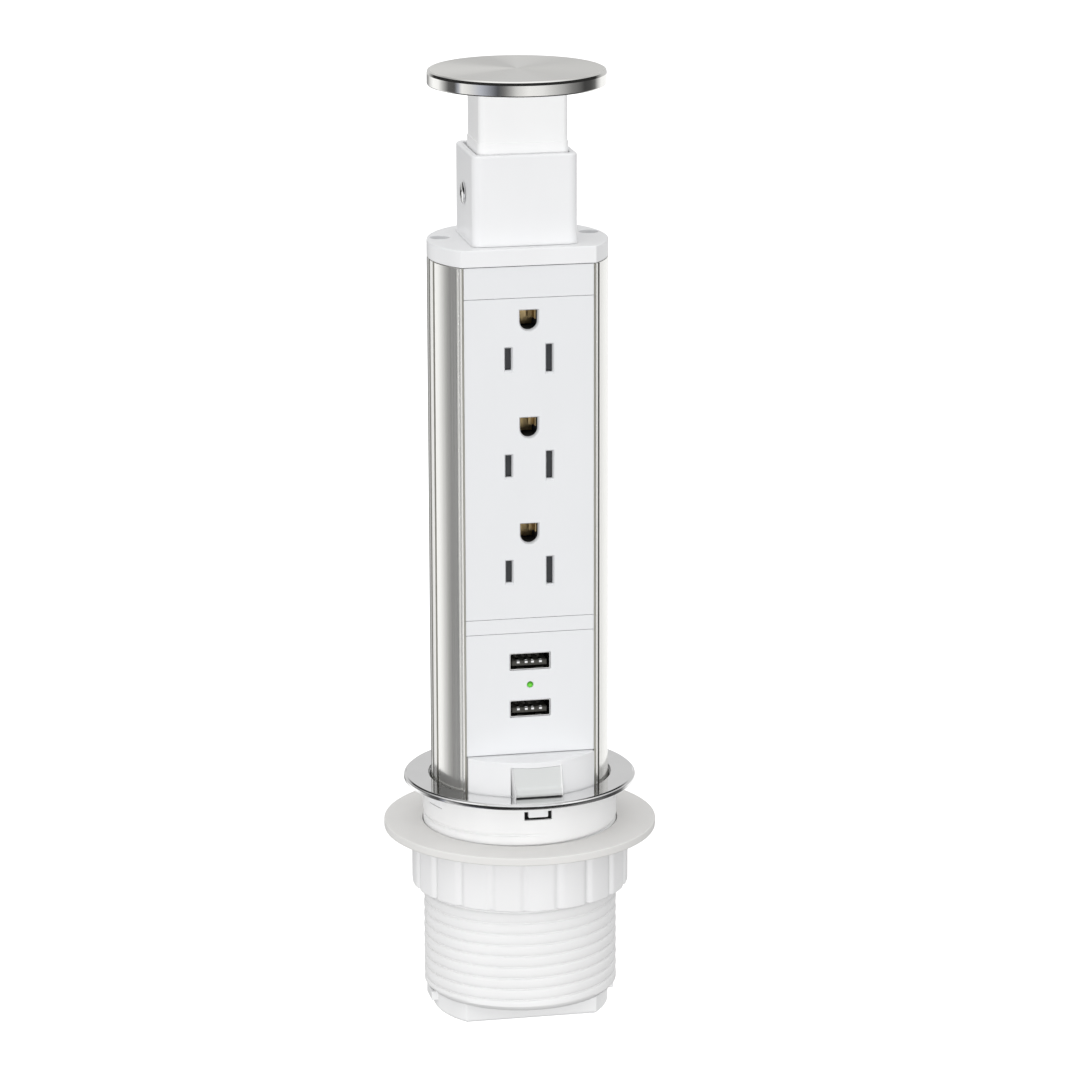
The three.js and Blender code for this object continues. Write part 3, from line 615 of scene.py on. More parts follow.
def add_ring_carrier():
    inner, outer = SKIRT_R
    flange = RING_HIGH.x - RING_RIM - 0.3
    band = (SNAP_LOW - 1.0, SNAP_HIGH + 0.3)
    profile = [(inner, CARRIER_LOW.z), (outer - 0.3, CARRIER_LOW.z), (outer, CARRIER_LOW.z + 0.3),
               (outer, band[0]), (outer, band[1]), (outer, DESK + 0.25), (31.0, DESK + 0.25),
               (31.0, DESK), (flange, DESK), (flange, CARRIER_HIGH.z), (inner, CARRIER_HIGH.z)]

    # Painted shade: the skirt behind each snap window takes the near-black look.
    def behind_windows(normal, middle):
        return band[0] < middle.z < band[1] and middle.xy.length > outer - 0.1

    stand_in("ring_carrier", Shape().turn(profile, 160).paint(behind_windows), extra=["dark_gap"])
    add_snap_tabs()


def add_snap_tabs():
    """The five snap tabs of the ring carrier, each in its window of the sleeve."""
    tabs = Shape()
    reach = (SKIRT_R[1] + 0.02, 30.25)
    for angle in SNAP_ANGLES:
        half, gap = (3.1, 0.8) if angle == -90 else (4.2, 0.1)
        outline = fillet(rectangle(-half, half, SNAP_LOW + gap, SNAP_HIGH + 0.2), [0.35, 0.35, 0.1, 0.1])
        spin = Matrix.Rotation(radians(angle + 90), 3, "Z")
        rows = layers(outline, -reach[1], -reach[0], 0.25, 0)
        tabs.stack(rows, place=lambda u, v, level: tuple(spin @ Vector((u, level, v))))
    stand_in("ring_carrier", tabs, name="snap_tabs")


def add_threaded_sleeve():
    """A thread that fades out at its ends, under a plain mouth with a window for each snap tab."""
    outer = SLEEVE_HIGH.x
    step = 1.5
    start = -90 + step / 2
    angles = [start + step * i for i in range(241)]
    thread_low, thread_high = SLEEVE_LOW.z + 1.4, SLEEVE_MOUTH_LOW - 0.7
    helix_start = -84 - 360 * (THREAD_TURNS % 1)
    helix_low = THREAD_TOP - THREAD_TURNS * THREAD_PITCH
    # One pitch of the thread, as (share of the pitch, share of the depth).
    section = [(0.0, 1.0), (0.04, 0.97), (0.09, 0.4), (0.14, 0.2), (0.27, 0.07), (0.5, 0.0),
               (0.73, 0.07), (0.86, 0.2), (0.91, 0.4), (0.96, 0.97)]

    def thread_point(turn, share, drop, angle):
        along = turn + (angle - helix_start) / 360
        centre = along + round(share)
        fade = max(0.0, min(1.0, centre / 0.2, (THREAD_TURNS - centre) / 0.04))
        z = helix_low + THREAD_PITCH * (along + share)
        depth = THREAD_DEPTH * drop * fade if thread_low < z < thread_high else 0
        return polar(outer - depth, radians(angle), min(max(z, thread_low), thread_high))

    sleeve = Shape()
    sleeve.grid([[thread_point(turn, share, drop, a) for a in angles]
                 for turn in range(-3, 19) for share, drop in section])

    def ring(radius, z):
        return [polar(radius, radians(a), z) for a in angles]

    def quad(above, below, i):
        sleeve.face([above[i], above[i + 1], below[i + 1], below[i]])

    def in_window(angle):
        return any(abs((angle + step / 2 - snap + 180) % 360 - 180) < SNAP_HALF_ANGLE for snap in SNAP_ANGLES)

    levels = [SLEEVE_HIGH.z, SNAP_HIGH, SNAP_LOW, thread_high]
    outside = [ring(outer, z) for z in levels]
    inside = [ring(SLEEVE_MOUTH_R, z) for z in levels[:3] + [SLEEVE_MOUTH_LOW]]
    for k in range(3):
        for i, angle in enumerate(angles[:-1]):
            if k == 1 and in_window(angle):
                for row in (1, 2):
                    quad(outside[row], inside[row], i)
                for edge, other in ((i, angle - step), (i + 1, angle + step)):
                    if not in_window(other):
                        sleeve.face([outside[1][edge], outside[2][edge], inside[2][edge], inside[1][edge]])
            else:
                for wall in (outside, inside):
                    quad(wall[k], wall[k + 1], i)
    sleeve.grid([inside[0], outside[0]])
    sleeve.grid([inside[3], ring(SLEEVE_BORE_R, SLEEVE_MOUTH_LOW - 1.0), ring(SLEEVE_BORE_R, SLEEVE_LOW.z),
                 ring(outer - 1.2, SLEEVE_LOW.z), ring(outer, thread_low)])
    stand_in("threaded_sleeve", sleeve, 50)


def add_clamp_washer():
    low, high, outer = WASHER_LOW.z, WASHER_HIGH.z, WASHER_HIGH.x
    profile = [(WASHER_BORE_R, low), (outer, low), (outer, high), (WASHER_BORE_R, high)]
    stand_in("clamp_washer", Shape().turn(fillet(profile, [0.2, 0.45, 0.4, 0.25], 4), 256))


def add_lock_nut():
    """A ring with broad flat-crowned lobes parted by narrow valleys."""
    per_lobe = 18
    valley_heading = -98.3
    angles = [radians(valley_heading + 360 / NUT_LOBES * k / per_lobe) for k in range(NUT_LOBES * per_lobe)]

    def radius_at(k):
        distance = abs((k % per_lobe) / per_lobe - 0.5) * 2
        valley = max(0.0, (distance - 0.7) / 0.3)
        return NUT_HIGH.x - 0.1 * distance**2 - NUT_GROOVE_DEPTH * (valley * valley * (3 - 2 * valley))

    def ring(sink, z):
        return [polar(radius_at(k) - sink, a, z) for k, a in enumerate(angles)]

    low, high = NUT_LOW.z, NUT_HIGH.z
    bore = [[polar(NUT_BORE_R, a, z) for a in angles] for z in (low, high)]
    rows = [bore[0], ring(0.5, low), ring(0.15, low + 0.15), ring(0, low + 0.5),
            ring(0, high - 0.4), ring(0.12, high - 0.12), ring(0.4, high), bore[1], bore[0]]
    stand_in("lock_nut", Shape().grid(rows, closed=True), 60)


# ---- Column ----
def flank(start):
    """The column's outer face on the right, notched by its grooves."""
    points = []
    begin = start
    for y in GROOVES_Y:
        low, high = (degrees(asin((y + side * GROOVE_W / 2) / COLUMN_R)) for side in (-1, 1))
        lip = 0.3
        points += arc(COLUMN_R, begin, low - lip)
        points += arc(COLUMN_R - GROOVE_DEPTH, low + lip, high - lip, step=1)
        begin = high + lip
    return points + arc(COLUMN_R, begin, 90)


def add_body_extrusion():
    """A round-backed shell with inner ribs, and a beaded, grooved lip beside the panels."""
    inner = COLUMN_R - WALL
    rib_y, rib_x, lip_x = -14.8, 17.6, 20.1
    panel_seat = PANEL_BACK + 0.3
    rib_angle = degrees(atan2(rib_y, sqrt(inner**2 - rib_y**2)))
    lip = fillet([(lip_x, panel_seat), (lip_x, FRONT_Y + 0.3), (20.6, FRONT_Y + 0.3), (20.7, FRONT_Y),
                  (21.3, FRONT_Y), (21.4, FRONT_Y + 1.3), (21.75, FRONT_Y + 1.35), (21.95, FRONT_Y + 1.3),
                  (22.3, FRONT_Y + 1.6)],
                 [0, 0.1, 0.04, 0.12, 0.22, 0.1, 0.1, 0.15, 0], 3)
    right = arc(inner, 90, rib_angle) + [(rib_x, rib_y), (rib_x, panel_seat)] + lip[:-1]
    right += flank(-36.7)
    outline = anticlockwise(right + [(-x, y) for x, y in right[1:-1][::-1]])

    # Painted shade: the right lip groove takes the dark groove look, and the flank grooves and the seam ledge
    # the lighter seam look.
    def shading(normal, middle):
        x, y, _ = middle
        radius = hypot(x, y)
        in_flank_groove = abs(x) > 24 and y > GROOVES_Y[0] - 1 and COLUMN_R - 1 < radius < COLUMN_R - 0.3
        in_lip_groove = 21.4 < x < 22.0 and FRONT_Y + 0.3 < y < FRONT_Y + 2
        on_seam_ledge = abs(x) < 20.65 and FRONT_Y + 0.2 < y < FRONT_Y + 0.4
        if abs(normal.z) >= 0.5:
            return 0
        return 1 if in_lip_groove else 2 * (in_flank_groove or on_seam_ledge)

    shell = slab(outline, COLUMN_LOW.z, COLUMN_HIGH.z, 0.08, 0.08, 1).paint(shading)
    stand_in("body_extrusion", shell, 30, extra=["groove_shade", "seam_shade"])


def column_plan():
    """The column's outline: a circle cut by the flat socket side, with rounded corners."""
    edge = sqrt(COLUMN_R**2 - FRONT_Y**2)
    start = degrees(atan2(FRONT_Y, edge)) + 1.5
    flat = [(-edge, FRONT_Y), (edge, FRONT_Y)]
    around = arc(COLUMN_R, start, 180 - start, step=2.5)
    corner = 1.6
    return fillet(flat + around, [corner, corner] + [0] * len(around), 6)


def screw_wells(low, floor, high):
    """Two stepped holes, wide from high down to the floor and narrow from there."""
    wells = []
    for side in (-1, 1):
        wide = circle(3.0, (side * SCREW_X, SCREW_Y), 40)
        narrow = inset(wide, 1.6)
        wells.append([(narrow, low), (narrow, floor)] + layers(wide, floor, high, 0, -0.2))
    return wells


def add_top_plate():
    low, high = PLATE_LOW.z, PLATE_HIGH.z
    opening = rounded(POST_LOW.x - 0.6, POST_HIGH.x + 0.6, POST_LOW.y - 0.6, POST_HIGH.y + 0.6, 1.5)
    rows = layers(column_plan(), low, high, 0.1, 0.45, 4)
    holes = [layers(opening, low, high)] + screw_wells(low, low + 1.6, high)
    stand_in("top_plate", Shape().stack(rows, holes))


def add_bottom_cap():
    low, high = FOOT_LOW.z, FOOT_HIGH.z
    plate = slab(column_plan(), low, high, 1.1, 0.2, 5)
    lug_z = (low + 3.1, low + 6.1)
    reach = 29.4
    lugs = [block(x, (-4.5, 4.5), lug_z, 0.5) for x in ((-reach, -COLUMN_R + 2), (COLUMN_R - 2, reach))]
    plate = joined(plate, lugs, "UNION")
    cord_hole = slab(circle(5.2, (0, CORD_Y)), low - 1, high + 1)
    drills = [cord_hole]
    for side in (-1, 1):
        at = (side * SCREW_X, SCREW_Y)
        drills.append(slab(circle(3.0, at), low - 1, high - 1.6))
        drills.append(slab(circle(1.4, at, 24), low, high + 1))
    # Painted light: the foot takes a brighter copy of the white gloss look.
    stand_in("bottom_cap", joined(plate, drills), look="bright_white")


def screw_shape(head_r, head_h, shank_r, length):
    """A domed cross-head screw along Z, its head from 0 upwards."""
    dome = [(0, head_h)] + [(head_r * sin(a), head_h * (0.35 + 0.65 * cos(a)))
                            for a in map(radians, range(15, 90, 15))]
    profile = dome + [(head_r, head_h * 0.3), (head_r - 0.1, 0), (shank_r, 0)]
    pitch = 0.7
    for k in range(int(length / pitch)):
        z = -pitch * (k + 0.2)
        profile += [(shank_r, z), (shank_r * 0.8, z - pitch / 2)]
    profile += [(shank_r, -length + 0.3), (0, -length)]
    body = Shape().turn(profile, 40, closed=False)
    arm, width, depth = head_r * 0.55, head_r * 0.16, head_h * 0.75
    cross = []
    for across, along in ((arm, width), (width, arm)):
        outline = rectangle(-across, across, -along, along)
        cross.append(Shape().stack([(inset(outline, width * 0.5), head_h - depth), (outline, head_h + 1)]))

    # Painted shade: faces inside the cross recess take the near-black look.
    def in_recess(normal, middle):
        x, y, z = abs(middle.x), abs(middle.y), middle.z
        over_cross = max(x, y) < arm * 1.02 and min(x, y) < width * 1.05
        return over_cross and 0 < z < head_h * 0.9 and (abs(normal.z) < 0.6 or z < head_h * 0.4)

    return joined(body, cross).paint(in_recess)


def add_screws():
    for node in ("top_plate_screw_left", "top_plate_screw_right", "bottom_cap_screw_left",
                 "bottom_cap_screw_right"):
        low, high = span(node)
        top = node.startswith("top")
        seat = high.z - 1.8 if top else low.z + 1.8
        turn = Matrix.Identity(4) if top else Matrix.Rotation(pi, 4, "X")
        middle = (low + high) / 2
        place = Matrix.Translation((middle.x, middle.y, seat)) @ turn
        stand_in(node, screw_shape(2.5, 1.75, 1.0, 8.9).moved(place), extra=["dark_gap"])
    for node, side in (("collar_screw_left", -1), ("collar_screw_right", 1)):
        low, high = span(node)
        seat = (low.x + 0.9) if side < 0 else (high.x - 0.9)
        turn = Matrix.Rotation(side * pi / 2, 4, "Y") @ Matrix.Rotation(radians(35), 4, "Z")
        place = Matrix.Translation((seat, (low.y + high.y) / 2, (low.z + high.z) / 2)) @ turn
        stand_in(node, screw_shape(3.4, 0.9, 1.0, 1.6).moved(place), extra=["dark_gap"])


# ---- Front panels ----
def slot_hole(x, z, width, height):
    """A plug slot that opens out at the face, more above and below than at its sides."""
    narrow = rounded(x - width / 2, x + width / 2, z - height / 2, z + height / 2, 0.15, 2)
    side, bottom, top = width / 2 + 0.36, height / 2 + 0.6, height / 2 + 0.45
    wide = rounded(x - side, x + side, z - bottom, z + top, 0.12, 2)
    rim = inset(wide, -0.03)
    return [(narrow, PANEL_BACK), (narrow, PANEL_FRONT + 0.75), (wide, PANEL_FRONT + 0.05),
            (rim, PANEL_FRONT)]


def ground_hole(z):
    """An earth hole: flat top, round bottom, opening out at the face."""
    made = []
    for grow, y in ((0, PANEL_BACK), (0, PANEL_FRONT + 0.75), (0.36, PANEL_FRONT + 0.05),
                    (0.39, PANEL_FRONT)):
        radius = 2.75 + grow
        top = z + 3.1 + grow
        bottom = arc(radius, 180, 360, (0, z - 0.25), step=7.5)
        made.append((bottom + [(radius, top), (-radius, top)], y))
    return made


def port_hole(z):
    half_width, half_height = 6.45, 2.75
    outline = rounded(-half_width, half_width, z - half_height, z + half_height, 0.4, 3)
    return [(outline, PANEL_BACK), (outline, PANEL_FRONT + 0.12), (inset(outline, -0.1), PANEL_FRONT)]


def add_panel(node, holes=()):
    low, high = span(node)
    outline = rounded(low.x - 0.13, high.x + 0.13, low.z - 0.074, high.z + 0.074, 0.1, 3)
    rows = [(outline, PANEL_BACK), (outline, PANEL_FRONT + 0.01), (inset(outline, 0.01), PANEL_FRONT)]
    stand_in(node, Shape().stack(rows, holes, facing))


def add_panels():
    for node in ("filler_panel", "spacer_panel", "lower_panel"):
        add_panel(node)
    outlets = []
    for z in OUTLET_ROWS:
        outlets += [slot_hole(-SLOT_X, z - 0.25, 2.0, 6.9), slot_hole(SLOT_X, z - 0.35, 2.0, 8.6)]
        outlets.append(ground_hole(z + GROUND_RISE - 0.25))
    add_panel("outlet_panel", outlets)
    lamp = circle(1.05, (0, LAMP_Z), 32)
    ports = [port_hole(z) for z in USB_ROWS.values()]
    ports.append([(lamp, PANEL_BACK), (lamp, PANEL_FRONT + 0.1), (inset(lamp, -0.12), PANEL_FRONT)])
    add_panel("usb_panel", ports)


# ---- Base block and latch ----
def add_base_block():
    half = BLOCK_HIGH.x
    side = degrees(acos(half / COLUMN_R))
    front = arc(COLUMN_R, -180 + side, -side, step=1.5)
    radii = [0, 0, 0.3] + [0] * (len(front) - 2) + [0.3]
    outline = fillet([(half, BLOCK_HIGH.y), (-half, BLOCK_HIGH.y)] + front, radii)
    body = slab(outline, BLOCK_LOW.z, BLOCK_HIGH.z, 0.15, 0.22)
    pocket_low, pocket_high = DESK + 1.6, LATCH_HIGH.z + 0.07
    half_pocket = LATCH_HALF + 0.04
    pocket = rounded(-half_pocket, half_pocket, -30, -16.6, 0.2)
    stand_in("base_block", joined(body, [slab(pocket, pocket_low, pocket_high)]))


def add_latch():
    """A wedge-shaped button: a sloped thumb face over a rounded catch, drafted at its sides."""
    low, high = LATCH_LOW.z, LATCH_HIGH.z
    tip, back = LATCH_LOW.y, LATCH_HIGH.y
    profile = [(back, low), (tip + 0.5, low), (tip, low + 0.9), (tip + 0.25, low + 2.4),
               (tip + 1.1, low + 3.1), (-27.5, high), (back, high)]
    outline = fillet(profile, [0, 0.4, 0.5, 0.6, 0.5, 0.45, 0], 4)
    sections = ((-1, 0.45), (-0.985, 0.15), (-0.96, 0), (0.96, 0), (0.985, 0.15), (1, 0.45))
    rows = [(inset(outline, shrink), share * LATCH_HALF) for share, shrink in sections]
    button = Shape().stack(rows, place=sideways)
    for vert in button.bm.verts:
        depth = min(1.0, max(0.0, (-27.1 - vert.co.y) / 2.8))
        draft = 1.0 * depth if vert.co.x < 0 else 0.1 * depth
        vert.co.x -= copysign(draft * min(1.0, abs(vert.co.x) / LATCH_HALF), vert.co.x)
    seat = slab(circle(2.6, (0, LATCH_SPRING_Z), 32), back - 4.7, back + 1, place=facing)
    # Painted light: the left side faces take the brighter white, lighter than the grey front.
    button = joined(button, [seat]).paint(lambda normal, middle: normal.x < -0.6)
    piece = stand_in("latch_button", button, look="latch_grey", extra=["bright_white"])
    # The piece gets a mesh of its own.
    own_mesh(piece)


# ---- Neck and cap ----
def add_neck_collar():
    low, high = COLLAR_LOW, COLLAR_HIGH
    outer = rounded(low.x, high.x, low.y, high.y, 2.9, 8)
    inner = rounded(low.x + 1.9, high.x - 1.9, low.y + 2.4, high.y - 2.4, 1.6, 8)
    foot = [(inset(outer, -d), low.z + z) for d, z in ((0.35, 0), (0.3, 0.12), (0.08, 0.35))]
    rows = foot + layers(outer, low.z + 0.8, high.z, 0, 0.75, 5)
    holes = [layers(inner, low.z, high.z, 0, -0.35, 4)]
    collar = Shape().stack(rows, holes)
    centre = ((low.y + high.y) / 2, COLLAR_SCREW_Z)
    drill = slab(circle(1.3, centre, 24), low.x - 1, high.x + 1, place=sideways)
    stand_in("neck_collar", joined(collar, [drill]))


def add_neck_post():
    low, high = POST_LOW, POST_HIGH
    outer = rounded(low.x, high.x, low.y, high.y, 1.9, 8)
    proud = inset(outer, -0.22)
    band_low, band_high = COLLAR_HIGH.z - 6, COLLAR_HIGH.z + 3.3
    rows = [(inset(outer, 0.3), low.z), (outer, low.z + 0.3), (outer, band_low - 0.2), (proud, band_low),
            (proud, band_high - 0.1), (inset(outer, -0.16), band_high), (outer, band_high + 0.04),
            (outer, high.z)]
    wall = 1.8
    hollow = rounded(low.x + wall, high.x - wall, low.y + wall, high.y - wall, 0.8)
    cavity = slab(hollow, low.z - 1, POST_HOLLOW_TOP)
    # Painted light: the post takes a brighter copy of the white gloss look.
    stand_in("neck_post", joined(Shape().stack(rows), [cavity]), look="bright_white")


def add_cap():
    low, high, radius = CAP_LOW.z, CAP_HIGH.z, CAP_HIGH.x
    rim, web = 1.4, 2.1
    profile = [(radius - rim, high - web), (radius - rim, low), (radius - 0.25, low), (radius, low + 0.35),
               (radius, high - 1.15), (radius - 0.2, high - 0.32), (radius - 0.85, high), (0, high)]
    rounded = fillet(profile, [0.3, 0.25, 0.1, 0.2, 0.15, 0.06, 0.1, 0], 4)[:-1]
    made = [(0, high - web)] + rounded + [(radius * 0.5, high), (0, high)]
    disc = stand_in("cap_disc", Shape().turn(made, 256, closed=False), 25)
    liner_low, liner_high = span("cap_liner")
    edge = liner_high.x
    liner = [(0, liner_low.z), (edge - 0.3, liner_low.z), (edge, liner_low.z + 0.3), (edge, liner_high.z),
             (0, liner_high.z)]
    under = stand_in("cap_liner", Shape().turn(liner, 160, closed=False))
    # The soft light reaches the post and the top plate as if it wrapped round the cap.
    disc.visible_diffuse = under.visible_diffuse = False


def helix(radius, low, high, turns, per_turn=36):
    """A compression spring's centre line, its end turns closed up."""
    points = []
    count = turns * per_turn
    closed = 0.75
    for i in range(count + 1):
        turn = turns * i / count
        share = min(1.0, max(0.0, (turn - closed) / (turns - 2 * closed)))
        eased = 0.06 * turn / turns + 0.94 * share
        points.append(polar(radius, 2 * pi * turn, low + (high - low) * eased))
    return points


def add_springs():
    low, high = span("neck_spring")
    middle = (low + high) / 2
    path = [(x + middle.x, y + middle.y, z) for x, y, z in helix(4.2, low.z + 0.5, high.z - 0.5, 9)]
    spring = stand_in("neck_spring", Shape().tube(path, 0.45, 10))
    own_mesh(spring)
    low, high = span("latch_spring")
    height = (low.z + high.z) / 2
    path = [(x, z, height + y) for x, y, z in helix(1.9, low.y + 0.32, high.y - 0.32, 5, 24)]
    spring = stand_in("latch_spring", Shape().tube(path, 0.3, 8))
    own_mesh(spring)


# ---- Contacts ----
def add_bus(node, rise, leaf_half, gap, reach=0.0):
    """A back strip with a pair of sprung leaves at each outlet, their mouths flared."""
    low, high = span(node)
    x = (low.x + high.x) / 2
    sheet = 0.55
    strips = [block((low.x + 0.1, high.x - 0.1), (high.y - 0.8, high.y), (low.z, high.z), 0.2)]
    for z in OUTLET_ROWS:
        heights = (z + rise - leaf_half[0], z + rise + leaf_half[1])
        for side in (-1, 1):
            inside = [(gap, high.y - 0.4), (gap, low.y + 3.2), (gap - 0.25, low.y + 2.0),
                      (gap, low.y + 0.1 - reach)]
            outside = [(a + sheet, y) for a, y in inside[::-1]]
            outline = anticlockwise(fillet([(x + side * a, y) for a, y in inside + outside], 0.1, 2))
            strips.append(slab(outline, *heights, 0.1, 0.1, 1))
        if reach:
            # An earth contact: a tab at the right of the hole, before a wider strip.
            middle, edge = z + rise, gap + 0.2
            strips.append(block((x + 0.9, x + edge), (-11.4, -10.8), (middle - 0.8, middle + 2.9), 0.1))
            strips.append(block((x - edge, x + edge), (-9.7, -9.3), (middle - 2.9, middle + 2.9), 0.1))
    stand_in(node, joined(strips[0], strips[1:], "UNION"))


def add_buses():
    add_bus("hot_bus", 0, (3.2, 3.2), 0.8)
    add_bus("neutral_bus", 0, (3.9, 3.9), 0.8)
    add_bus("ground_bus", GROUND_RISE, (0.4, 3.0), 2.2, 3.6)


# ---- USB charger ----
def add_usb_port(place, z):
    low, high = span("usb_shell_" + place)
    sheet = 0.35
    outer = rounded(low.x, high.x, low.z, high.z, 0.55, 4)
    inner = rounded(low.x + sheet, high.x - sheet, low.z + sheet, high.z - sheet, 0.3, 4)
    lip = [(inset(outer, d), low.y + y) for d, y in ((0.0, 0.6), (0.06, 0.38), (0.12, 0.3))]
    mouth = [(inset(inner, d), low.y + y) for d, y in ((0.0, 0.6), (-0.05, 0.36), (-0.1, 0.3))]
    shell = Shape().stack([(outer, high.y)] + lip, [[(inner, high.y)] + mouth], facing)
    stand_in("usb_shell_" + place, shell)

    low, high = span("usb_tongue_" + place)
    tongue = Shape()
    board = rounded(-5.55, 5.55, z - 1.75, z - 0.05, 0.15, 2)
    tongue.stack([(board, -6.5), (board, low.y + 0.3), (inset(board, 0.25), low.y)], place=facing)
    plug = block((-5.9, 5.9), (-7.0, high.y), (z - 2.1, z + 2.1), 0.3)
    stand_in("usb_tongue_" + place, joined(tongue, [plug], "UNION"))
    contacts = Shape()
    half = 0.5
    for x in (-3.5, -1.0, 1.0, 3.5):
        pad = rounded(x - half, x + half, -16.2, -8.0, 0.2, 2)
        contacts.stack(layers(pad, z - 0.06, z + 0.1, 0, 0.06, 1))
        tip = rounded(x - half, x + half, z - 0.9, z - 0.2, 0.1, 2)
        rows = [(tip, low.y + 0.1), (tip, low.y + 0.02), (inset(tip, 0.08), low.y - 0.06)]
        contacts.stack(rows, place=facing)
    steel = "polished_steel"
    finished("usb_contacts_" + place, contacts, [steel], 35, "tower")
    fingers = Shape()
    for x in (-2.9, 2.9):
        for side in (-1, 1):
            level = z + side * (2.7 - sheet - 0.02)
            leaf = [(-17.2, level), (-15.5, level - side * 0.45), (-13.0, level),
                    (-13.0, level + side * 0.02), (-15.5, level - side * 0.3), (-17.2, level + side * 0.02)]
            leaf = leaf[::side]
            fingers.stack([(leaf, x - 1.1), (leaf, x + 1.1)], place=sideways)
    finished("usb_fingers_" + place, fingers, [steel], 35, "tower")


def add_charger():
    for place, z in USB_ROWS.items():
        add_usb_port(place, z)
    lens = [(0, 0), (1.0, 0), (1.0, 3.2), (0.85, 3.6), (0.5, 3.85), (0, 3.92)]
    place = Matrix.Translation((0, span("status_lamp")[1].y, LAMP_Z)) @ Matrix.Rotation(pi / 2, 4, "X")
    stand_in("status_lamp", Shape().turn(lens, 32, closed=False).moved(place))
    for node, profile in (("usb_coil", coil_profile), ("usb_capacitor", capacitor_profile)):
        low, high = span(node)
        place = Matrix.Translation(((low.x + high.x) / 2, low.y, (low.z + high.z) / 2))
        place = place @ Matrix.Rotation(-pi / 2, 4, "X")
        stand_in(node, Shape().turn(profile(high.y - low.y), 48, closed=False).moved(place))


def coil_profile(reach):
    """A drum core, its winding between two flanges."""
    return [(0, 0), (4.8, 0), (5.0, 0.3), (5.0, 1.0), (4.4, 1.2), (4.4, reach - 1.2), (5.0, reach - 1.0),
            (5.0, reach - 0.3), (4.8, reach), (2.0, reach), (1.7, reach - 0.6), (0, reach - 0.6)]


def capacitor_profile(reach):
    """A can with a groove near its foot and a rolled top."""
    return [(0, 0.2), (3.5, 0.2), (3.9, 0), (4.0, 0.4), (4.0, 1.2), (3.75, 1.5), (3.75, 1.8), (4.0, 2.1),
            (4.0, reach - 0.6), (3.8, reach - 0.1), (3.4, reach), (3.2, reach - 0.15), (0, reach - 0.15)]


# ---- Wiring ----
def smooth_path(points):
    """A Catmull-Rom curve through the points."""
    knots = [Vector(p) for p in points]
    knots = [knots[0] * 2 - knots[1]] + knots + [knots[-1] * 2 - knots[-2]]
    made = []
    count = 60
    spans = len(knots) - 3
    for i in range(count + 1):
        t = spans * i / count
        k = min(int(t), spans - 1)
        t -= k
        a, b, c, d = knots[k:k + 4]
        made.append(((b * 2) + (c - a) * t + (a * 2 - b * 5 + c * 4 - d) * t * t
                     + (b * 3 - a - c * 3 + d) * t ** 3) / 2)
    return made


def add_wiring():
    low, high = span("cord_bushing")
    inner, outer = 3.8, 4.9
    sleeve = [(inner, low.z), (outer - 0.3, low.z), (outer, low.z + 0.3)]
    for k in range(3):
        z = low.z + 1.6 + 1.7 * k
        sleeve += [(outer, z), (outer - 0.35, z + 0.2), (outer - 0.35, z + 0.7), (outer, z + 0.9)]
    sleeve += [(outer, high.z), (inner, high.z)]
    stand_in("cord_bushing", Shape().turn(sleeve, 48).moved(Matrix.Translation((0, CORD_Y, 0))))
    low, high = span("cord_stub")
    jacket = [(0, low.z), (3.3, low.z), (3.6, low.z + 0.3), (3.6, high.z - 0.4), (3.2, high.z), (0, high.z)]
    stand_in("cord_stub", Shape().turn(jacket, 48, closed=False).moved(Matrix.Translation((0, CORD_Y, 0))))
    for name, x in (("hot_wire", -SLOT_X), ("ground_wire", 0), ("neutral_wire", SLOT_X)):
        low, high = span(name)
        rise = high.z - low.z
        path = smooth_path([(x * 0.3, CORD_Y, low.z + 0.4), (x * 0.9, 14, low.z + 0.22 * rise),
                            (x * 0.4, 22, low.z + 0.52 * rise), (x, 18, low.z + 0.84 * rise),
                            (x, 3.0, high.z - 0.6)])
        stand_in(name, Shape().tube(path, 0.9, 14))


def dress_cad_nodes():
    """Every CAD node that stays visible takes its slot's material."""
    for name, node in frame["nodes"].items():
        node.data.materials.clear()
        node.data.materials.append(LOOKS[SLOT_OF[name]])


# ---- Studio ----
BACKGROUND = 1.0
DOME = 0.66
# Screens seen in reflections, as (heading in degrees, level). 0 is the socket side and +90 is +X.
SCREENS = [(-180, 0.35), (-168, 0.35), (-158, 0.78), (-145, 1.15), (-131, 1.1), (-119, 0.5),
           (-109, 0.12), (-97, 0.1), (-91, 0.5), (-86, 1.05), (-75, 0.9), (-58, 0.6), (-43, 0.27),
           (-35, 0.1), (-27, 0.2), (-19, 0.45), (-11, 0.78), (4, 1.05), (22, 0.97), (36, 0.72), (50, 0.5),
           (64, 0.25), (75, 0.16), (86, 0.06), (99, 0.08), (108, 0.16), (117, 0.7), (125, 1.05),
           (165, 1.1), (180, 0.5)]


def screen_colour(heading, level):
    """The dimmer screens at the front left are a little blue."""
    cool = -92 < heading < -30 and level < 0.9
    return (0.93 * level, 0.97 * level, 1.1 * level) if cool else (level, level, level)


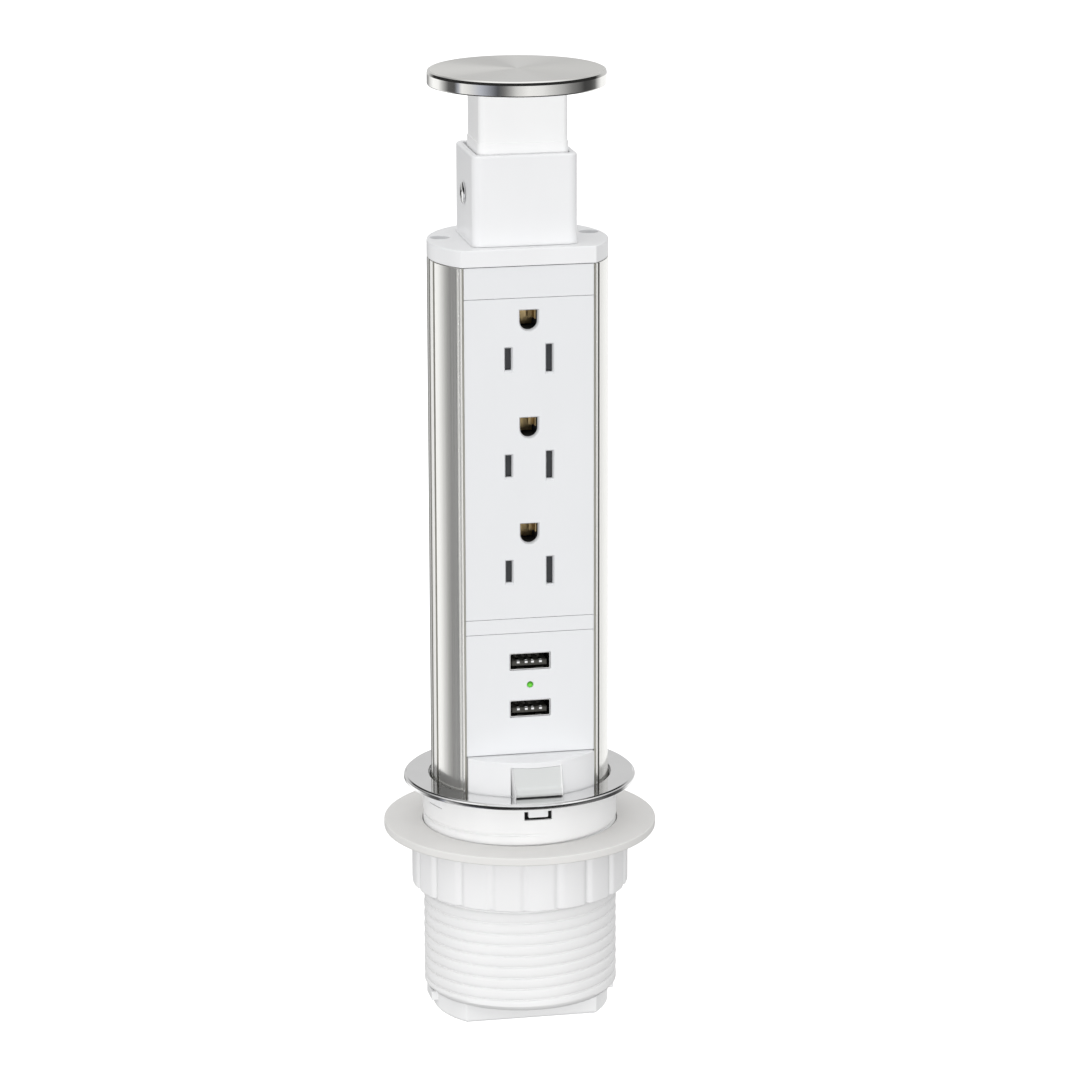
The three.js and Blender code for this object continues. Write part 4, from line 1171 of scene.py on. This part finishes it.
def add_world():
    """A white room for the camera. Reflections see screens parted by dark gaps, a dark front over
    them and a bright ceiling, and diffuse light comes from a dome."""
    world = bpy.data.worlds.new("studio")
    bpy.context.scene.world = world
    world.use_nodes = True
    world.node_tree.nodes.clear()
    n = Tree(world.node_tree)
    x, y, z = n.parts(n.node("TexCoord").outputs["Generated"])
    around = n.math("DIVIDE", n.math("ARCTAN2", x, n.times(y, -1.0)), 2 * pi)
    stops = [((heading + 180) / 360, screen_colour(heading, level)) for heading, level in SCREENS]
    screens = n.steps(n.plus(around, 0.5), stops)
    dim_below = n.ramp(z, 0.06, 1.0, -0.75, -0.5)
    lower = n.mix(1.0, screens, n.node("CombineXYZ", X=dim_below, Y=dim_below, Z=dim_below).outputs[0],
                  "MULTIPLY")
    # Over the screens: dark in front, light grey behind, and a bright ceiling.
    ahead = n.plus(y, n.times(x, 0.3))
    front = n.ramp(ahead, 0.64, 0.025, 0.86, 0.62)
    ceiling = n.ramp(z, 0.0, 1.0, 0.55, 0.85)
    upper = n.plus(n.times(front, n.math("SUBTRACT", 1.0, ceiling)),
                   n.times(ceiling, 1.1))
    reflected = n.mix(n.ramp(z, 0.0, 1.0, -0.15, -0.10), lower, upper)
    # Diffuse light: more from above, and a little more from the left.
    dome = n.plus(n.plus(n.times(x, -0.08), n.times(z, 0.40)), DOME)
    path = n.node("LightPath").outputs
    lit = n.mix(path["Is Glossy Ray"], dome, reflected)
    shown = n.mix(path["Is Camera Ray"], lit, (BACKGROUND, BACKGROUND, BACKGROUND, 1))
    background = n.node("Background", Color=shown, Strength=1.0)
    n.node("OutputWorld", Surface=background.outputs[0])


def add_floor():
    """A pale floor well under the lowered column. Mirrors see the studio's screens and not the floor."""
    made = slab(rectangle(-4000, 4000, -3000, 5000), -225, -220)
    mesh = made.mesh("floor")
    mesh.transform(Matrix.Scale(MM, 4))
    n = Nodes("pale_floor")
    pale = n.ramp(n.noise(3, 2), (0.93, 0.93, 0.93), (0.95, 0.95, 0.95))
    n.put(Base_Color=pale, Roughness=0.9, Emission_Color=pale)
    seen = n.node("LightPath").outputs["Is Camera Ray"]
    n.put(Emission_Strength=n.times(seen, 0.5))
    mesh.materials.append(n.material)
    floor = in_scene("floor", mesh)
    floor.visible_glossy = floor.visible_diffuse = False


def add_key_light():
    """A broad soft light, low in front and a little to the left."""
    data = bpy.data.lights.new("key", "AREA")
    data.shape = "DISK"
    data.size = 1.2
    data.energy = 40
    light = in_scene("key", data)
    light.location = (-0.62, -2.92, 0.0)
    light.rotation_mode = "QUATERNION"
    light.rotation_quaternion = (Vector((0, 0, 0.15)) - light.location).to_track_quat("-Z", "Y")
    light.visible_camera = light.visible_glossy = False


def add_camera():
    """The view: from a little left of the socket side, looking down."""
    azimuth, elevation, roll = (radians(v) for v in (-11.276, 14.665, -0.158))
    distance, shift, height = 1.4330, 0.00664, 0.15083
    data = bpy.data.cameras.new("camera")
    data.lens, data.sensor_width = 154.0, 36.0
    data.clip_start, data.clip_end = 0.05, 50
    camera = in_scene("camera", data)
    camera.matrix_world = (
        Matrix.Translation((0, 0, height)) @ Matrix.Rotation(azimuth, 4, "Z")
        @ Matrix.Rotation(pi / 2 - elevation, 4, "X") @ Matrix.Translation((shift, 0, distance))
        @ Matrix.Rotation(roll, 4, "Z"))
    bpy.context.scene.camera = camera


# ---- The whole scene ----
for add in (add_trim_ring, add_ring_carrier, add_threaded_sleeve, add_clamp_washer, add_lock_nut,
            add_body_extrusion, add_top_plate, add_bottom_cap, add_screws, add_panels, add_base_block,
            add_latch, add_neck_collar, add_neck_post, add_cap, add_springs, add_buses, add_charger,
            add_wiring, dress_cad_nodes, add_world, add_floor, add_key_light, add_camera):
    add()
bpy.context.scene.view_settings.view_transform = "Standard"
